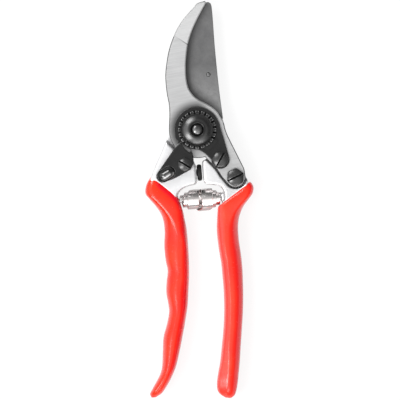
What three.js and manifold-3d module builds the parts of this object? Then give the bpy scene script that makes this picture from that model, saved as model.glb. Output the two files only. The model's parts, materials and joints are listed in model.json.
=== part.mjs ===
// Bypass pruner, closed, lying with its adjusting nut up. Millimetres.
// The origin is the pivot axis at the bolt head's flat back, +Y runs to the blade tips and +Z points up.
// The left handle carries the cutting blade. The right handle carries the hook blade in front of it.
import * as THREE from 'three';
import { mergeVertices } from 'three/addons/utils/BufferGeometryUtils.js';
import Module from 'manifold-3d';

const wasm = await Module();
wasm.setup();

// Driving dimensions, in the plan view
const bladeReach = 70.4; // pivot to the blade tips
const jawSpread = 35; // width of the closed jaws
const headReach = 46; // pivot to where the forged heads end inside the grips
const handleReach = 146.5; // pivot to the grips' ends
const handleSpread = 60; // width over both grips

// Clearances
const workingGap = 0.3; // between neighbouring pieces
const recessGap = 0.8; // round the hook's hub and tang
const overrun = 1; // how far a cutting tool passes the face that it cuts
const headClearGap = 1; // between the hook's hub and the right forged head
const tangEndWall = 0.84; // of the right forged head, beside the hook's tang
const sharpestMitre = 0.5; // corners sharper than this are blunted where an outline is moved in or out
const leastCornerGap = 0.1; // corners of an outline that lie closer than this are one corner
const weldGap = 0.00001; // corners of a mesh that lie closer than this are one corner

// Fineness of round pieces
const hubSides = 56;
const roundSides = 32;
const smallSides = 24;
const pinSides = 20;

// Layers, from the back to the front
const boltHeadThickness = 2.6;
const hubPlateThickness = 3.5;
const bladeThickness = 3.5;
const hookThickness = 4;
const lockPlateThickness = 1.2;
const latchThickness = 2;
const gripThickness = 16;

// Hub
const hookHubRadius = 15.4;
const hubPlateRadius = 15.2;
const bladeHubRadius = 15;
const boltHeadRadius = 7.5;
const boltHeadSlotWidth = 1.6;
const boltHeadSlotDepth = 1.2;
const boltShankRadius = 4.2;
const boltThreadRadius = 3.2;
const boltEndRadius = 2.7;
const boltEndRise = 0.9;
const boltSlotPlace = 4.1; // from the axis, one slot on each side
const boltCrownShare = 0.7; // of the end's radius and rise, where the crown rounds
const bushWall = 1.2;
const rivetRadius = 1.8;
const rivetCircleRadius = 10.2;
const rivetAngles = [200, 268].map(THREE.MathUtils.degToRad);

// Adjusting nut and the plate that locks it
const nutRadius = 10.4;
const nutToothDepth = 1.5;
const nutFlangeThickness = 2;
const nutTeeth = 20;
const nutDomeRadius = 6.6;
const nutDomeRise = 2;
const nutMouthRadius = 3.6;
const nutToothShare = 0.55; // of the pitch, at the tips
const nutFlankShare = 1.2; // of the tooth's width, at the roots
const nutSkirtShare = 0.9; // of the root circle, below the dome
const lockPlateRadius = 12.6;
const lockPlateNeckRadius = 10.8;
const lockArmRadius = 5;
const lockToothSpan = [293, 331].map(THREE.MathUtils.degToRad);
const lockToothGap = 0.35;
const lockToothShare = 0.2; // of the pitch
const lockNeckEnd = THREE.MathUtils.degToRad(271.8);
const lockArmTurn = THREE.MathUtils.degToRad(165.6);

// Screws, with hexagonal slotted heads
const screwHeadHeight = 2.5;
const screwDomeRise = 0.9;
const screwSlotWidth = 1;
const screwSlotDepth = 1.1;
const screwShankRadius = 2;
const lockScrewCorner = 4.4;
const hookScrewCorner = 4.2;
const latchScrewCorner = 3.8;
const backNutCorner = 4.4;
const backNutThickness = 2.2;
const lockScrewSlotAngle = THREE.MathUtils.degToRad(60);
const hookScrewSlotAngle = THREE.MathUtils.degToRad(26.5);
const latchScrewSlotAngle = THREE.MathUtils.degToRad(-31);
const washerRadius = 3.7;
const screwCrownShares = [0.6, 0.25]; // of the flat and of the dome's rise, where the crown rounds

// Hook and blade
const tangEndRadius = 5.5;
const hookBevelWidth = 1;
const hookBevelDepth = 0.9;
const plateBevel = 0.5;
const hookInnerSteps = 38;
const hookPlainSteps = 6; // of its inner edge by the hub, which isn't bevelled
const tangStart = THREE.MathUtils.degToRad(286.2);
const tangEndSpan = [214.2, 370.8].map(THREE.MathUtils.degToRad);
const bladeBevelWidth = 6.5;
const bladeEdgeLand = 0.4;
const bladeBevelEnds = [0.25, 0.15]; // shares of the edge over which the ground face runs out
const bladeHubSpan = [144, 383.4].map(THREE.MathUtils.degToRad);
const dimpleRadius = 1.2;
const dimpleDepth = 0.3;
const tongueRise = 1.2;
const tongueSpan = [217, 254].map(THREE.MathUtils.degToRad);
const tongueInset = 0.9; // from the hub's rim
const catchRadius = 0.7;
const catchTurn = THREE.MathUtils.degToRad(9); // past the tongue's end

// Handles
const forgingBevel = 0.9;
const tangThickness = 8.5;
const gripWall = 3;
const gripRimSquareness = 6;
const gripSquareness = 2.6;
const gripRimSections = 4;
const gripSides = 16;
const tangSquareness = 5;
const tangSides = 12;
const leftHeadSpan = [257.4, 218.7].map(THREE.MathUtils.degToRad);
const rightHeadSpan = [-30, -72].map(THREE.MathUtils.degToRad);

// Latch
const latchLength = 22;
const latchEndRadius = 3.4;
const latchEdge = 0.4;
const thumbBumpRadius = 3.7;
const thumbBumpHeight = 2.6;
const latchEndSpan = [147.6, 302.4].map(THREE.MathUtils.degToRad);

// Buffer and return spring
const bufferRadius = 4.5;
const bufferThickness = 2.7;
const bufferBevel = 0.9;
const bufferStemRadius = 1.8;
const bufferStemLength = 5;
const springEndRadius = 2.75;
const springMiddleRadius = 6.25;
const stripWidth = 4.9;
const stripThickness = 0.6;
const stripCrown = 0.1;
const taperTurns = 2.25;
const crossingShift = 7.7;
const stepsPerTurn = 8;
const springSeatRadius = 3;
const springPegRadius = 1.3;
const springPegLength = 2.4;
const springRoom = 0.6; // kept free round the spring, which wanders as it closes

// The hub's radius as a share of the handles' spread and of the heads' reach, and the heads' reach as a
// share of the handles' reach. What lies within the hub's radius goes with the hub, and the rest with its
// own length.
const hubSpreadShare = 0.2567;
const hubReachShare = 0.3348;
const headReachShare = 0.316;

// Places in the plan view, as shares of the handles' spread and the heads' reach
const latchScrewShares = [-0.112, -0.413];
const lockScrewShares = [0.21, -0.354];
const hookScrewShare = -0.563;
const bufferShares = [0.0215, -0.505];
const springLeftShares = [-0.165, -0.846];
const springRightShares = [0.2155, -0.807];
const dimpleShares = [0.176, 0.434];

// Outlines as shares of the jaws' spread and the blades' reach
const hookOuterShares = [
  [0.117, 1], [-0.003, 0.98], [-0.054, 0.949], [-0.111, 0.919], [-0.22, 0.856], [-0.3, 0.794],
  [-0.363, 0.731], [-0.431, 0.637], [-0.471, 0.544], [-0.497, 0.42], [-0.477, 0.294],
  [-0.443, 0.201], [-0.433, 0.129], [-0.437, 0.06],
];
const hookInnerShares = [
  [0.434, 0.014], [0.417, 0.049], [0.386, 0.08], [0.311, 0.139], [0.246, 0.17], [0.151, 0.201],
  [0.026, 0.233], [-0.054, 0.263], [-0.131, 0.317], [-0.169, 0.393], [-0.18, 0.486], [-0.171, 0.571],
  [-0.149, 0.657], [-0.106, 0.736], [-0.049, 0.809], [0.011, 0.871], [0.086, 0.941], [0.14, 0.988],
];
const bladeSpineShares = [
  [0.403, 0.091], [0.371, 0.201], [0.34, 0.326], [0.309, 0.481], [0.277, 0.637], [0.246, 0.824],
  [0.22, 0.968],
];
const bladeTipShares = [[0.205, 0.985], [0.171, 0.994]];
const bladeEdgeShares = [
  [0.114, 0.989], [0.034, 0.943], [-0.057, 0.874], [-0.131, 0.809], [-0.194, 0.736], [-0.246, 0.653],
  [-0.274, 0.543], [-0.28, 0.429], [-0.271, 0.314], [-0.28, 0.2],
];

// Outlines as shares of the handles' spread and the heads' reach
const leftOuterShares = [
  [-0.283, -0.128], [-0.297, -0.167], [-0.338, -0.3], [-0.38, -0.417], [-0.415, -0.537],
  [-0.43, -0.61], [-0.432, -0.717], [-0.408, -0.815], [-0.358, -0.913], [-0.308, -1],
];
const leftInnerShares = [
  [-0.23, -0.957], [-0.208, -0.89], [-0.187, -0.811], [-0.177, -0.775], [-0.16, -0.735],
  [-0.123, -0.693], [-0.075, -0.667], [-0.027, -0.652], [-0.008, -0.639], [0, -0.613],
  [-0.011, -0.426], [-0.043, -0.346],
];
const leftWebShares = [
  [-0.24, 0.02], [-0.277, -0.102], [-0.297, -0.167], [-0.338, -0.3], [-0.1, -0.5], [-0.011, -0.426],
  [-0.043, -0.33],
];
const rightInnerShares = [
  [0.082, -0.346], [0.055, -0.365], [0.043, -0.404], [0.057, -0.6], [0.065, -0.63], [0.087, -0.646],
  [0.133, -0.652], [0.19, -0.663], [0.223, -0.691], [0.242, -0.743], [0.245, -0.822], [0.236, -0.87],
  [0.25, -0.924], [0.285, -1],
];
const rightOuterShares = [
  [0.36, -0.967], [0.408, -0.87], [0.445, -0.761], [0.463, -0.674], [0.467, -0.612], [0.436, -0.532],
  [0.31, -0.19],
];
const tangLeftShares = [[0.078, -0.331], [0.13, -0.4], [0.178, -0.465], [0.217, -0.545]];
const tangRightShares = [[0.425, -0.452], [0.28, -0.074]];
const lockArmShares = [[0.017, -0.239], [0.073, -0.285], [0.128, -0.357]];

// Grip sections from the rim to the end: outer x, y and inner x, y as shares of the handles' spread
// and reach, then the thickness as a share of the grips' thickness
const leftGripShares = [
  [-0.42, -0.171, -0.167, -0.256, 0.93], [-0.466, -0.204, -0.144, -0.284, 0.98],
  [-0.476, -0.237, -0.123, -0.309, 1], [-0.436, -0.26, -0.111, -0.335, 1],
  [-0.391, -0.281, -0.097, -0.363, 1], [-0.341, -0.309, -0.087, -0.397, 1],
  [-0.311, -0.341, -0.081, -0.427, 1], [-0.3, -0.384, -0.076, -0.457, 1],
  [-0.304, -0.435, -0.072, -0.487, 1], [-0.291, -0.489, -0.07, -0.518, 1],
  [-0.273, -0.527, -0.07, -0.548, 1], [-0.282, -0.563, -0.073, -0.578, 1],
  [-0.286, -0.608, -0.077, -0.61, 1], [-0.268, -0.65, -0.082, -0.65, 1],
  [-0.261, -0.683, -0.092, -0.683, 1], [-0.282, -0.728, -0.11, -0.728, 1],
  [-0.311, -0.773, -0.13, -0.773, 1], [-0.318, -0.825, -0.155, -0.825, 0.98],
  [-0.323, -0.878, -0.185, -0.878, 0.95], [-0.338, -0.908, -0.212, -0.908, 0.92],
  [-0.373, -0.938, -0.247, -0.938, 0.88], [-0.414, -0.968, -0.288, -0.966, 0.78],
  [-0.434, -0.986, -0.322, -0.984, 0.6], [-0.42, -0.999, -0.372, -0.998, 0.28],
];
const rightGripShares = [
  [0.488, -0.192, 0.217, -0.278, 0.93], [0.516, -0.212, 0.188, -0.289, 0.98],
  [0.509, -0.237, 0.18, -0.312, 1], [0.471, -0.26, 0.177, -0.338, 1],
  [0.431, -0.282, 0.175, -0.364, 1], [0.402, -0.306, 0.177, -0.39, 1],
  [0.382, -0.334, 0.184, -0.417, 1], [0.376, -0.372, 0.192, -0.443, 1],
  [0.385, -0.417, 0.204, -0.473, 1], [0.403, -0.466, 0.216, -0.503, 1],
  [0.416, -0.518, 0.226, -0.548, 1], [0.422, -0.574, 0.235, -0.589, 1],
  [0.424, -0.627, 0.24, -0.63, 1], [0.421, -0.683, 0.241, -0.683, 1],
  [0.412, -0.743, 0.235, -0.743, 1], [0.402, -0.803, 0.221, -0.803, 1],
  [0.393, -0.863, 0.206, -0.863, 0.97], [0.383, -0.908, 0.187, -0.908, 0.93],
  [0.374, -0.943, 0.176, -0.942, 0.86], [0.361, -0.973, 0.18, -0.97, 0.72],
  [0.344, -0.991, 0.207, -0.987, 0.52], [0.314, -1.001, 0.255, -0.999, 0.25],
];
const leftTangSections = [2, 18];
const rightTangSections = [3, 17];

// Latch outline from its screw, as shares of the latch's length
const latchShares = [
  [0.186, -0.045], [0.214, 0.04], [0.214, 0.15], [0.186, 0.286], [0.15, 0.35], [0.13, 0.29],
  [0.04, 0.35], [-0.035, 0.436], [-0.073, 0.523], [-0.11, 0.54], [-0.155, 0.505], [-0.27, 0.386],
  [-0.495, 0.064],
];
const latchEndShares = [-0.555, -0.295];
const latchLowerShares = [[-0.27, -0.35], [0.027, -0.19], [0.141, -0.127]];
const thumbBumpShares = [-0.45, -0.24];

// Profiles as shares of their radius and rise
const thumbBumpProfileShares = [[1, 0], [0.92, 0.4], [0.7, 0.75], [0.38, 0.95], [0, 1]];
const nutDomeProfileShares = [[1.1, 0.12], [1, 0.35], [0.86, 0.75], [0.77, 1], [0.59, 0.9], [0, 0.9]];

// Heights worked out from the layers
const hubPlateBottom = boltHeadThickness + workingGap;
const hubPlateTop = hubPlateBottom + hubPlateThickness;
const bladeBottom = hubPlateTop + workingGap;
const bladeTop = bladeBottom + bladeThickness;
const hookBottom = bladeTop + workingGap;
const forgingFront = hookBottom + hookThickness;
const lockPlateBottom = forgingFront + workingGap;
const lockPlateTop = lockPlateBottom + lockPlateThickness;
const nutBottom = lockPlateTop + workingGap;
const nutFlangeTop = nutBottom + nutFlangeThickness;
const nutTop = nutFlangeTop + nutDomeRise;
const latchBottom = lockPlateTop + workingGap;
const latchTop = latchBottom + latchThickness;
const forgingMiddle = (hubPlateBottom + forgingFront) / 2;
const gripMiddle = gripThickness / 2;
const recessRadius = hookHubRadius + recessGap;
const tongueOuterRadius = hookHubRadius - tongueInset;
const headClearRadius = hookHubRadius + headClearGap;
const bushRadius = boltShankRadius + workingGap + bushWall;

// Plan-view helpers
const point = (x, y) => new THREE.Vector2(x, y);

// A share inside the near one is measured by the near length, and one beyond it by the rest of the far
// length
function stretched(share, nearShare, nearLength, farShare, farLength) {
  const size = Math.abs(share);
  if (size <= nearShare) return (share / nearShare) * nearLength;
  const beyond = ((size - nearShare) / (farShare - nearShare)) * (farLength - nearLength);
  return Math.sign(share) * (nearLength + beyond);
}

const polar = (radius, angle) => point(radius * Math.cos(angle), radius * Math.sin(angle));
const across = (share) => stretched(share, hubSpreadShare, hookHubRadius, 0.5, handleSpread / 2);
const along = (share) => stretched(share, hubReachShare, hookHubRadius, 1, headReach);
const onHandle = ([x, y]) => point(across(x), along(y));
const onJaw = ([x, y]) => point(x * jawSpread, y * bladeReach);
const onLatch = ([x, y]) => point(x * latchLength, y * latchLength);

function onGrip(x, y) {
  const inHead = along(y / headReachShare);
  const beyond = stretched(y, headReachShare, headReach, 1, handleReach);
  return new THREE.Vector3(across(x), Math.abs(y) <= headReachShare ? inHead : beyond, gripMiddle);
}

const latchScrew = onHandle(latchScrewShares);
const lockScrew = onHandle(lockScrewShares);
const headSide = Math.max(...rightOuterShares.map((shares) => onHandle(shares).x));
const hookScrew = point(headSide - tangEndWall - recessGap - tangEndRadius, along(hookScrewShare));
const bufferCentre = onHandle(bufferShares);
const springLeft = onHandle(springLeftShares);
const springRight = onHandle(springRightShares);
const springLength = springLeft.distanceTo(springRight);
const crossTilt = springRight.clone().sub(springLeft).angle();

function smooth(points, steps) {
  return new THREE.SplineCurve(points).getPoints(steps);
}

function arc(centre, radius, from, to, steps) {
  const points = [];
  for (let i = 0; i <= steps; i++) {
    points.push(polar(radius, from + ((to - from) * i) / steps).add(centre));
  }
  return points;
}

// Joins stretches into one closed outline, without doubled corners
function closed(...stretches) {
  const corners = stretches.flat();
  return corners.filter((corner, i) => (
    corner.distanceTo(corners[(i + corners.length - 1) % corners.length]) > leastCornerGap));
}

// Moves each corner of a closed outline inward along its corner's bisector
function inset(points, distance) {
  const sign = THREE.ShapeUtils.isClockWise(points) ? -1 : 1;
  return points.map((corner, i) => {
    const before = points[(i + points.length - 1) % points.length];
    const after = points[(i + 1) % points.length];
    const incoming = corner.clone().sub(before).normalize();
    const outgoing = after.clone().sub(corner).normalize();
    const bisector = point(-incoming.y - outgoing.y, incoming.x + outgoing.x).normalize();
    const reach = Math.max(bisector.dot(point(-incoming.y, incoming.x)), sharpestMitre);
    return corner.clone().addScaledVector(bisector, (sign * distance) / reach);
  });
}

// Closed bodies from stacked loops with equal corner counts
function joinLoops(loops, capStart, capEnd) {
  const count = loops[0].length;
  const positions = loops.flat().flatMap((corner) => corner.toArray());
  const triangles = [];
  for (let level = 0; level + 1 < loops.length; level++) {
    for (let i = 0; i < count; i++) {
      const a = level * count + i;
      const b = level * count + ((i + 1) % count);
      triangles.push(a, b, b + count, a, b + count, a + count);
    }
  }
  const last = (loops.length - 1) * count;
  capStart.forEach(([a, b, c]) => triangles.push(c, b, a));
  capEnd.forEach(([a, b, c]) => triangles.push(last + a, last + b, last + c));
  const geometry = new THREE.BufferGeometry();
  geometry.setAttribute('position', new THREE.Float32BufferAttribute(positions, 3));
  geometry.setIndex(triangles);
  return geometry;
}

function stack(levels) {
  const turned = THREE.ShapeUtils.isClockWise(levels[0].outline);
  const loops = levels.map(({ outline, z }) => {
    const ordered = turned ? [...outline].reverse() : outline;
    return ordered.map((corner) => new THREE.Vector3(corner.x, corner.y, z));
  });
  const cap = (loop) => THREE.ShapeUtils.triangulateShape(loop.map((p) => point(p.x, p.y)), []);
  return solid(joinLoops(loops, cap(loops[0]), cap(loops[loops.length - 1])));
}

function plate(outline, bottom, top) {
  return stack([{ outline, z: bottom }, { outline, z: top }]);
}

// A plate whose two rims are bevelled
function bevelledPlate(outline, bottom, top, bevel) {
  const narrow = inset(outline, bevel);
  return stack([
    { outline: narrow, z: bottom },
    { outline, z: bottom + bevel },
    { outline, z: top - bevel },
    { outline: narrow, z: top },
  ]);
}

// Turns a closed geometry into a solid that can be joined and cut
function solid(geometry) {
  const bare = geometry.index && !geometry.attributes.uv ? geometry : mergedPositions(geometry);
  const mesh = new wasm.Mesh({
    numProp: 3,
    vertProperties: new Float32Array(bare.attributes.position.array),
    triVerts: new Uint32Array(bare.index.array),
  });
  return new wasm.Manifold(mesh);
}

function mergedPositions(geometry) {
  const bare = new THREE.BufferGeometry();
  bare.setAttribute('position', geometry.attributes.position.clone());
  if (geometry.index) bare.setIndex(geometry.index.clone());
  return mergeVertices(bare, weldGap);
}

function meshed(body) {
  const { vertProperties, triVerts } = body.getMesh();
  const geometry = new THREE.BufferGeometry();
  geometry.setAttribute('position', new THREE.Float32BufferAttribute(vertProperties, 3));
  geometry.setIndex(Array.from(triVerts));
  geometry.computeVertexNormals();
  return geometry;
}

// A turned piece with its axis along +Z, from [radius, height] pairs that start and end on the axis
function turned(profile, sides) {
  const geometry = new THREE.LatheGeometry(profile.map(([r, h]) => point(r, h)), sides);
  geometry.rotateX(Math.PI / 2);
  return geometry;
}

// A cylinder standing on the given place, from one height to another
function post(place, radius, bottom, top, sides = roundSides) {
  const geometry = turned([[0, bottom], [radius, bottom], [radius, top], [0, top]], sides);
  geometry.translate(place.x, place.y, 0);
  return solid(geometry);
}

// Lays a turned piece along the cross axis of the spring and the buffer
function laidAcross(geometry, place, z) {
  geometry.rotateY(Math.PI / 2);
  geometry.rotateZ(crossTilt);
  geometry.translate(place.x, place.y, z);
  return solid(geometry);
}

// Six corners, the first one at the given turn
function hexagon(place, corner, turn) {
  return arc(place, corner, turn, turn + (5 * Math.PI) / 3, 5);
}

const pivot = point(0, 0);

// Fasteners
function slottedHexScrew(place, seat, corner, slotAngle, end) {
  const top = seat + screwHeadHeight;
  const shoulder = top - screwDomeRise;
  const flat = corner * Math.cos(Math.PI / 6);
  const [crownRadius, crownDrop] = screwCrownShares;
  const dome = turned([[0, seat], [corner, seat], [corner, shoulder - screwDomeRise / 2],
    [flat, shoulder], [flat * crownRadius, top - screwDomeRise * crownDrop], [0, top]], roundSides);
  dome.translate(place.x, place.y, 0);
  const slot = new THREE.BoxGeometry(4 * corner, screwSlotWidth, 2 * screwSlotDepth);
  slot.rotateZ(slotAngle);
  slot.translate(place.x, place.y, top);
  const shank = post(place, screwShankRadius, end, seat + workingGap);
  const head = plate(hexagon(place, corner, slotAngle), seat, top + overrun).intersect(solid(dome));
  return head.subtract(solid(slot)).add(shank);
}

function pivotBolt() {
  const threadTop = nutTop - boltEndRise / 2;
  const body = solid(turned([[0, 0], [boltHeadRadius - plateBevel, 0], [boltHeadRadius, plateBevel],
    [boltHeadRadius, boltHeadThickness], [boltShankRadius, boltHeadThickness],
    [boltShankRadius, forgingFront - workingGap], [boltThreadRadius, forgingFront],
    [boltThreadRadius, threadTop - boltEndRise / 2], [boltEndRadius, threadTop],
    [boltEndRadius * boltCrownShare, threadTop + boltEndRise * boltCrownShare],
    [0, threadTop + boltEndRise]], roundSides));
  const slots = [-boltSlotPlace, boltSlotPlace].map((x) => {
    const slot = new THREE.BoxGeometry(boltHeadSlotWidth, 3 * boltHeadRadius, 2 * boltHeadSlotDepth);
    return solid(slot.translate(x, 0, 0));
  });
  return body.subtract(slots[0]).subtract(slots[1]);
}

function pivotBush() {
  const bore = boltShankRadius + workingGap;
  return solid(turned([[bore, hubPlateBottom], [bushRadius, hubPlateBottom], [bushRadius, bladeTop],
    [bore, bladeTop], [bore, hubPlateBottom]], roundSides));
}

function bladeRivet(angle) {
  return post(polar(rivetCircleRadius, angle), rivetRadius, hubPlateBottom, bladeTop, smallSides);
}

function toothedOutline(tipRadius, rootRadius) {
  const pitch = (2 * Math.PI) / nutTeeth;
  const corners = [];
  for (let tooth = 0; tooth < nutTeeth; tooth++) {
    const middle = tooth * pitch;
    const tip = (pitch * nutToothShare) / 2;
    const root = tip * nutFlankShare;
    corners.push(polar(tipRadius, middle - tip), polar(tipRadius, middle + tip));
    corners.push(polar(rootRadius, middle + root), polar(rootRadius, middle + pitch - root));
  }
  return corners;
}

function adjustingNut() {
  const rootRadius = nutRadius - nutToothDepth;
  const flange = plate(toothedOutline(nutRadius, rootRadius), nutBottom, nutFlangeTop);
  const skirt = rootRadius * nutSkirtShare;
  const crown = nutDomeProfileShares.map(([r, h]) => [nutDomeRadius * r, nutFlangeTop + nutDomeRise * h]);
  const dome = turned([[0, nutBottom], [skirt, nutBottom], [skirt, nutFlangeTop], ...crown], roundSides);
  const mouth = post(pivot, nutMouthRadius, nutBottom - overrun, nutTop + overrun);
  return flange.add(solid(dome)).subtract(mouth);
}

// The teeth that stand up from the plate reach into the nut's notches
function nutLockPlate() {
  const armRight = Math.acos((lockPlateRadius - lockArmRadius) / lockScrew.length());
  const armAngle = Math.atan2(lockScrew.y, lockScrew.x);
  const tangent = armAngle + armRight;
  const tongueClear = workingGap / tongueOuterRadius;
  const outline = [
    ...arc(pivot, lockPlateRadius, tangent, tongueSpan[0] - 2 * tongueClear, 36),
    ...arc(pivot, lockPlateNeckRadius, tongueSpan[0] - tongueClear, lockNeckEnd, 12),
    ...lockArmShares.map(onHandle),
    ...arc(lockScrew, lockArmRadius, tangent - lockArmTurn, tangent, 16),
  ];
  const pitch = (2 * Math.PI) / nutTeeth;
  const root = nutRadius + lockToothGap;
  const wedge = [...arc(pivot, lockPlateRadius, lockToothSpan[0], lockToothSpan[1], 10),
    ...arc(pivot, root, lockToothSpan[1], lockToothSpan[0], 10)];
  let body = plate(outline, lockPlateBottom, lockPlateTop);
  body = body.add(plate(wedge, lockPlateBottom, nutFlangeTop));
  const half = (pitch * lockToothShare) / 2;
  const firstNotch = Math.ceil(lockToothSpan[0] / pitch - 1 / 2);
  for (let notch = firstNotch; (notch + 1 / 2) * pitch < lockToothSpan[1]; notch++) {
    const middle = (notch + 1 / 2) * pitch;
    const tip = nutRadius - nutToothDepth + lockToothGap;
    const corners = [polar(tip, middle - half), polar(root + lockToothGap, middle - half),
      polar(root + lockToothGap, middle + half), polar(tip, middle + half)];
    body = body.add(plate(corners, lockPlateTop - workingGap, nutFlangeTop));
  }
  const bore = post(pivot, boltThreadRadius + workingGap, lockPlateBottom - overrun, nutFlangeTop);
  const screwHole = post(lockScrew, screwShankRadius + workingGap, 0, nutFlangeTop);
  return body.subtract(bore).subtract(screwHole);
}

// Hook blade: jaw, hub and tang in one plate
function hookOutline() {
  return closed(
    smooth(hookOuterShares.map(onJaw), 32),
    arc(pivot, hookHubRadius, Math.PI, tangStart, 22),
    smooth(tangLeftShares.map(onHandle), 6),
    arc(hookScrew, tangEndRadius, tangEndSpan[0], tangEndSpan[1], 16),
    tangRightShares.map(onHandle),
    smooth(hookInnerShares.map(onJaw), hookInnerSteps),
  );
}

function hookBlade() {
  const outline = hookOutline();
  const narrow = inset(outline, plateBevel);
  const inner = inset(outline, hookBevelWidth);
  const firstInner = outline.length - hookInnerSteps + hookPlainSteps;
  const front = narrow.map((corner, i) => (i >= firstInner ? inner[i] : corner));
  const body = stack([
    { outline, z: hookBottom },
    { outline, z: forgingFront - hookBevelDepth },
    { outline: front, z: forgingFront },
  ]);
  const tongue = [...arc(pivot, tongueOuterRadius, tongueSpan[0], tongueSpan[1], 10),
    ...arc(pivot, lockPlateNeckRadius + workingGap, tongueSpan[1], tongueSpan[0], 10)];
  const catchPlace = catchCentre();
  const notch = post(catchPlace, 2 * catchRadius, forgingFront, latchBottom, pinSides);
  const bore = post(pivot, boltShankRadius + workingGap, 0, latchTop);
  const screwHoles = [lockScrew, hookScrew].map((place) => (
    post(place, screwShankRadius + workingGap, 0, latchTop)));
  return body
    .add(plate(tongue, forgingFront - plateBevel, forgingFront + tongueRise).subtract(notch))
    .subtract(bore).subtract(screwHoles[0]).subtract(screwHoles[1]);
}

// Where the latch's catch stands, just outside the tongue
function catchCentre() {
  return polar(tongueOuterRadius + workingGap + catchRadius, tongueSpan[0] + catchTurn);
}

// Cutting blade: flat against the hook, ground on its back down to the edge
function cuttingBlade() {
  const spine = smooth(bladeSpineShares.map(onJaw), 18);
  const tip = bladeTipShares.map(onJaw);
  const edge = smooth(bladeEdgeShares.map(onJaw), 28);
  const hub = arc(pivot, bladeHubRadius, bladeHubSpan[0], bladeHubSpan[1], 40);
  const outline = [...hub, ...spine, ...tip, ...edge];
  const edgeStart = hub.length + spine.length + tip.length;
  const ground = outline.map((corner, i) => {
    if (i < edgeStart) return corner;
    const share = (i - edgeStart) / (edge.length - 1);
    const run = Math.min(1, share / bladeBevelEnds[0], (1 - share) / bladeBevelEnds[1]);
    return corner.clone().add(point(bladeBevelWidth * run, 0));
  });
  const blank = stack([
    { outline: ground, z: bladeBottom },
    { outline, z: bladeTop - bladeEdgeLand },
    { outline, z: bladeTop },
  ]);
  const bore = post(pivot, bushRadius + workingGap, 0, latchTop);
  const dimpleBottom = bladeTop - dimpleDepth;
  const dimple = post(onJaw(dimpleShares), dimpleRadius, dimpleBottom, bladeTop + overrun, pinSides);
  const rivetHoles = rivetAngles.map((angle) => (
    post(polar(rivetCircleRadius, angle), rivetRadius + workingGap, 0, latchTop, smallSides)));
  return blank.subtract(bore).subtract(dimple).subtract(rivetHoles[0]).subtract(rivetHoles[1]);
}

// Handles. A grip section is an upright rounded ring between an outer and an inner point.
function sectionRing([outerX, outerY, innerX, innerY, thick], squareness, wall, halfHeight, z, sides) {
  const outer = onGrip(outerX, outerY);
  const inner = onGrip(innerX, innerY);
  const middle = outer.clone().add(inner).divideScalar(2);
  const half = inner.clone().sub(outer).divideScalar(2);
  half.setLength(half.length() - wall);
  const ring = [];
  for (let i = 0; i < sides; i++) {
    const angle = (2 * Math.PI * (i + 1 / 2)) / sides;
    const side = Math.sign(Math.cos(angle)) * Math.abs(Math.cos(angle)) ** (2 / squareness);
    const up = Math.sign(Math.sin(angle)) * Math.abs(Math.sin(angle)) ** (2 / squareness);
    const corner = middle.clone().addScaledVector(half, side);
    corner.z = z + up * halfHeight * thick;
    ring.push(corner);
  }
  return ring;
}

function loft(rings) {
  const cap = [];
  for (let i = 1; i + 1 < rings[0].length; i++) cap.push([0, i, i + 1]);
  const body = solid(joinLoops(rings, cap, cap));
  if (body.volume() > 0) return body;
  return solid(joinLoops(rings.map((ring) => [...ring].reverse()), cap, cap));
}

function gripBody(sections) {
  return loft(sections.map((section, i) => {
    const ease = Math.min(i / gripRimSections, 1);
    const squareness = gripRimSquareness + (gripSquareness - gripRimSquareness) * ease;
    return sectionRing(section, squareness, 0, gripMiddle, gripMiddle, gripSides);
  }));
}

function tangBody(sections, [first, last], grow) {
  const wall = gripWall - grow;
  const half = tangThickness / 2 + grow;
  return loft(sections.slice(first, last + 1).map((section) => (
    sectionRing(section, tangSquareness, wall, half, forgingMiddle, tangSides))));
}

function springSeat(place, sign, grow) {
  const face = -workingGap;
  const profile = [[0, -springLength / 4], [springSeatRadius + grow, -springLength / 4],
    [springSeatRadius + grow, face], [springPegRadius + grow, face],
    [springPegRadius + grow, face + springPegLength], [0, face + springPegLength]];
  const geometry = turned(profile, smallSides);
  if (sign < 0) geometry.rotateY(Math.PI);
  return laidAcross(geometry, place, forgingMiddle);
}

function leftForging(grow) {
  const head = closed(
    leftOuterShares.slice(0, 4).map(onHandle),
    smooth(leftOuterShares.slice(4).map(onHandle), 12),
    smooth(leftInnerShares.slice(0, 10).map(onHandle), 20),
    leftInnerShares.slice(10).map(onHandle),
    arc(pivot, recessRadius, leftHeadSpan[0], leftHeadSpan[1], 12),
  );
  const bottom = hubPlateBottom - grow;
  const top = forgingFront + grow;
  return bevelledPlate(inset(head, -grow), bottom, top, forgingBevel)
    .add(tangBody(leftGripShares, leftTangSections, grow))
    .add(springSeat(springLeft, 1, grow));
}

function bladeHandleForging() {
  const web = plate(leftWebShares.map(onHandle), hubPlateBottom, hubPlateTop);
  const hub = post(pivot, hubPlateRadius, hubPlateBottom, hubPlateTop, hubSides);
  const bladeRoom = post(pivot, recessRadius, hubPlateTop, forgingFront + overrun, hubSides);
  const bore = post(pivot, bushRadius + workingGap, 0, latchTop);
  const screwHole = post(latchScrew, screwShankRadius + workingGap, hubPlateTop, latchTop, smallSides);
  let body = leftForging(0).add(web).add(hub).subtract(bladeRoom).subtract(bore).subtract(screwHole);
  for (const angle of rivetAngles) {
    const place = polar(rivetCircleRadius, angle);
    body = body.subtract(post(place, rivetRadius + workingGap, 0, bladeBottom, smallSides));
  }
  return body.subtract(buffer(workingGap));
}

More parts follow.
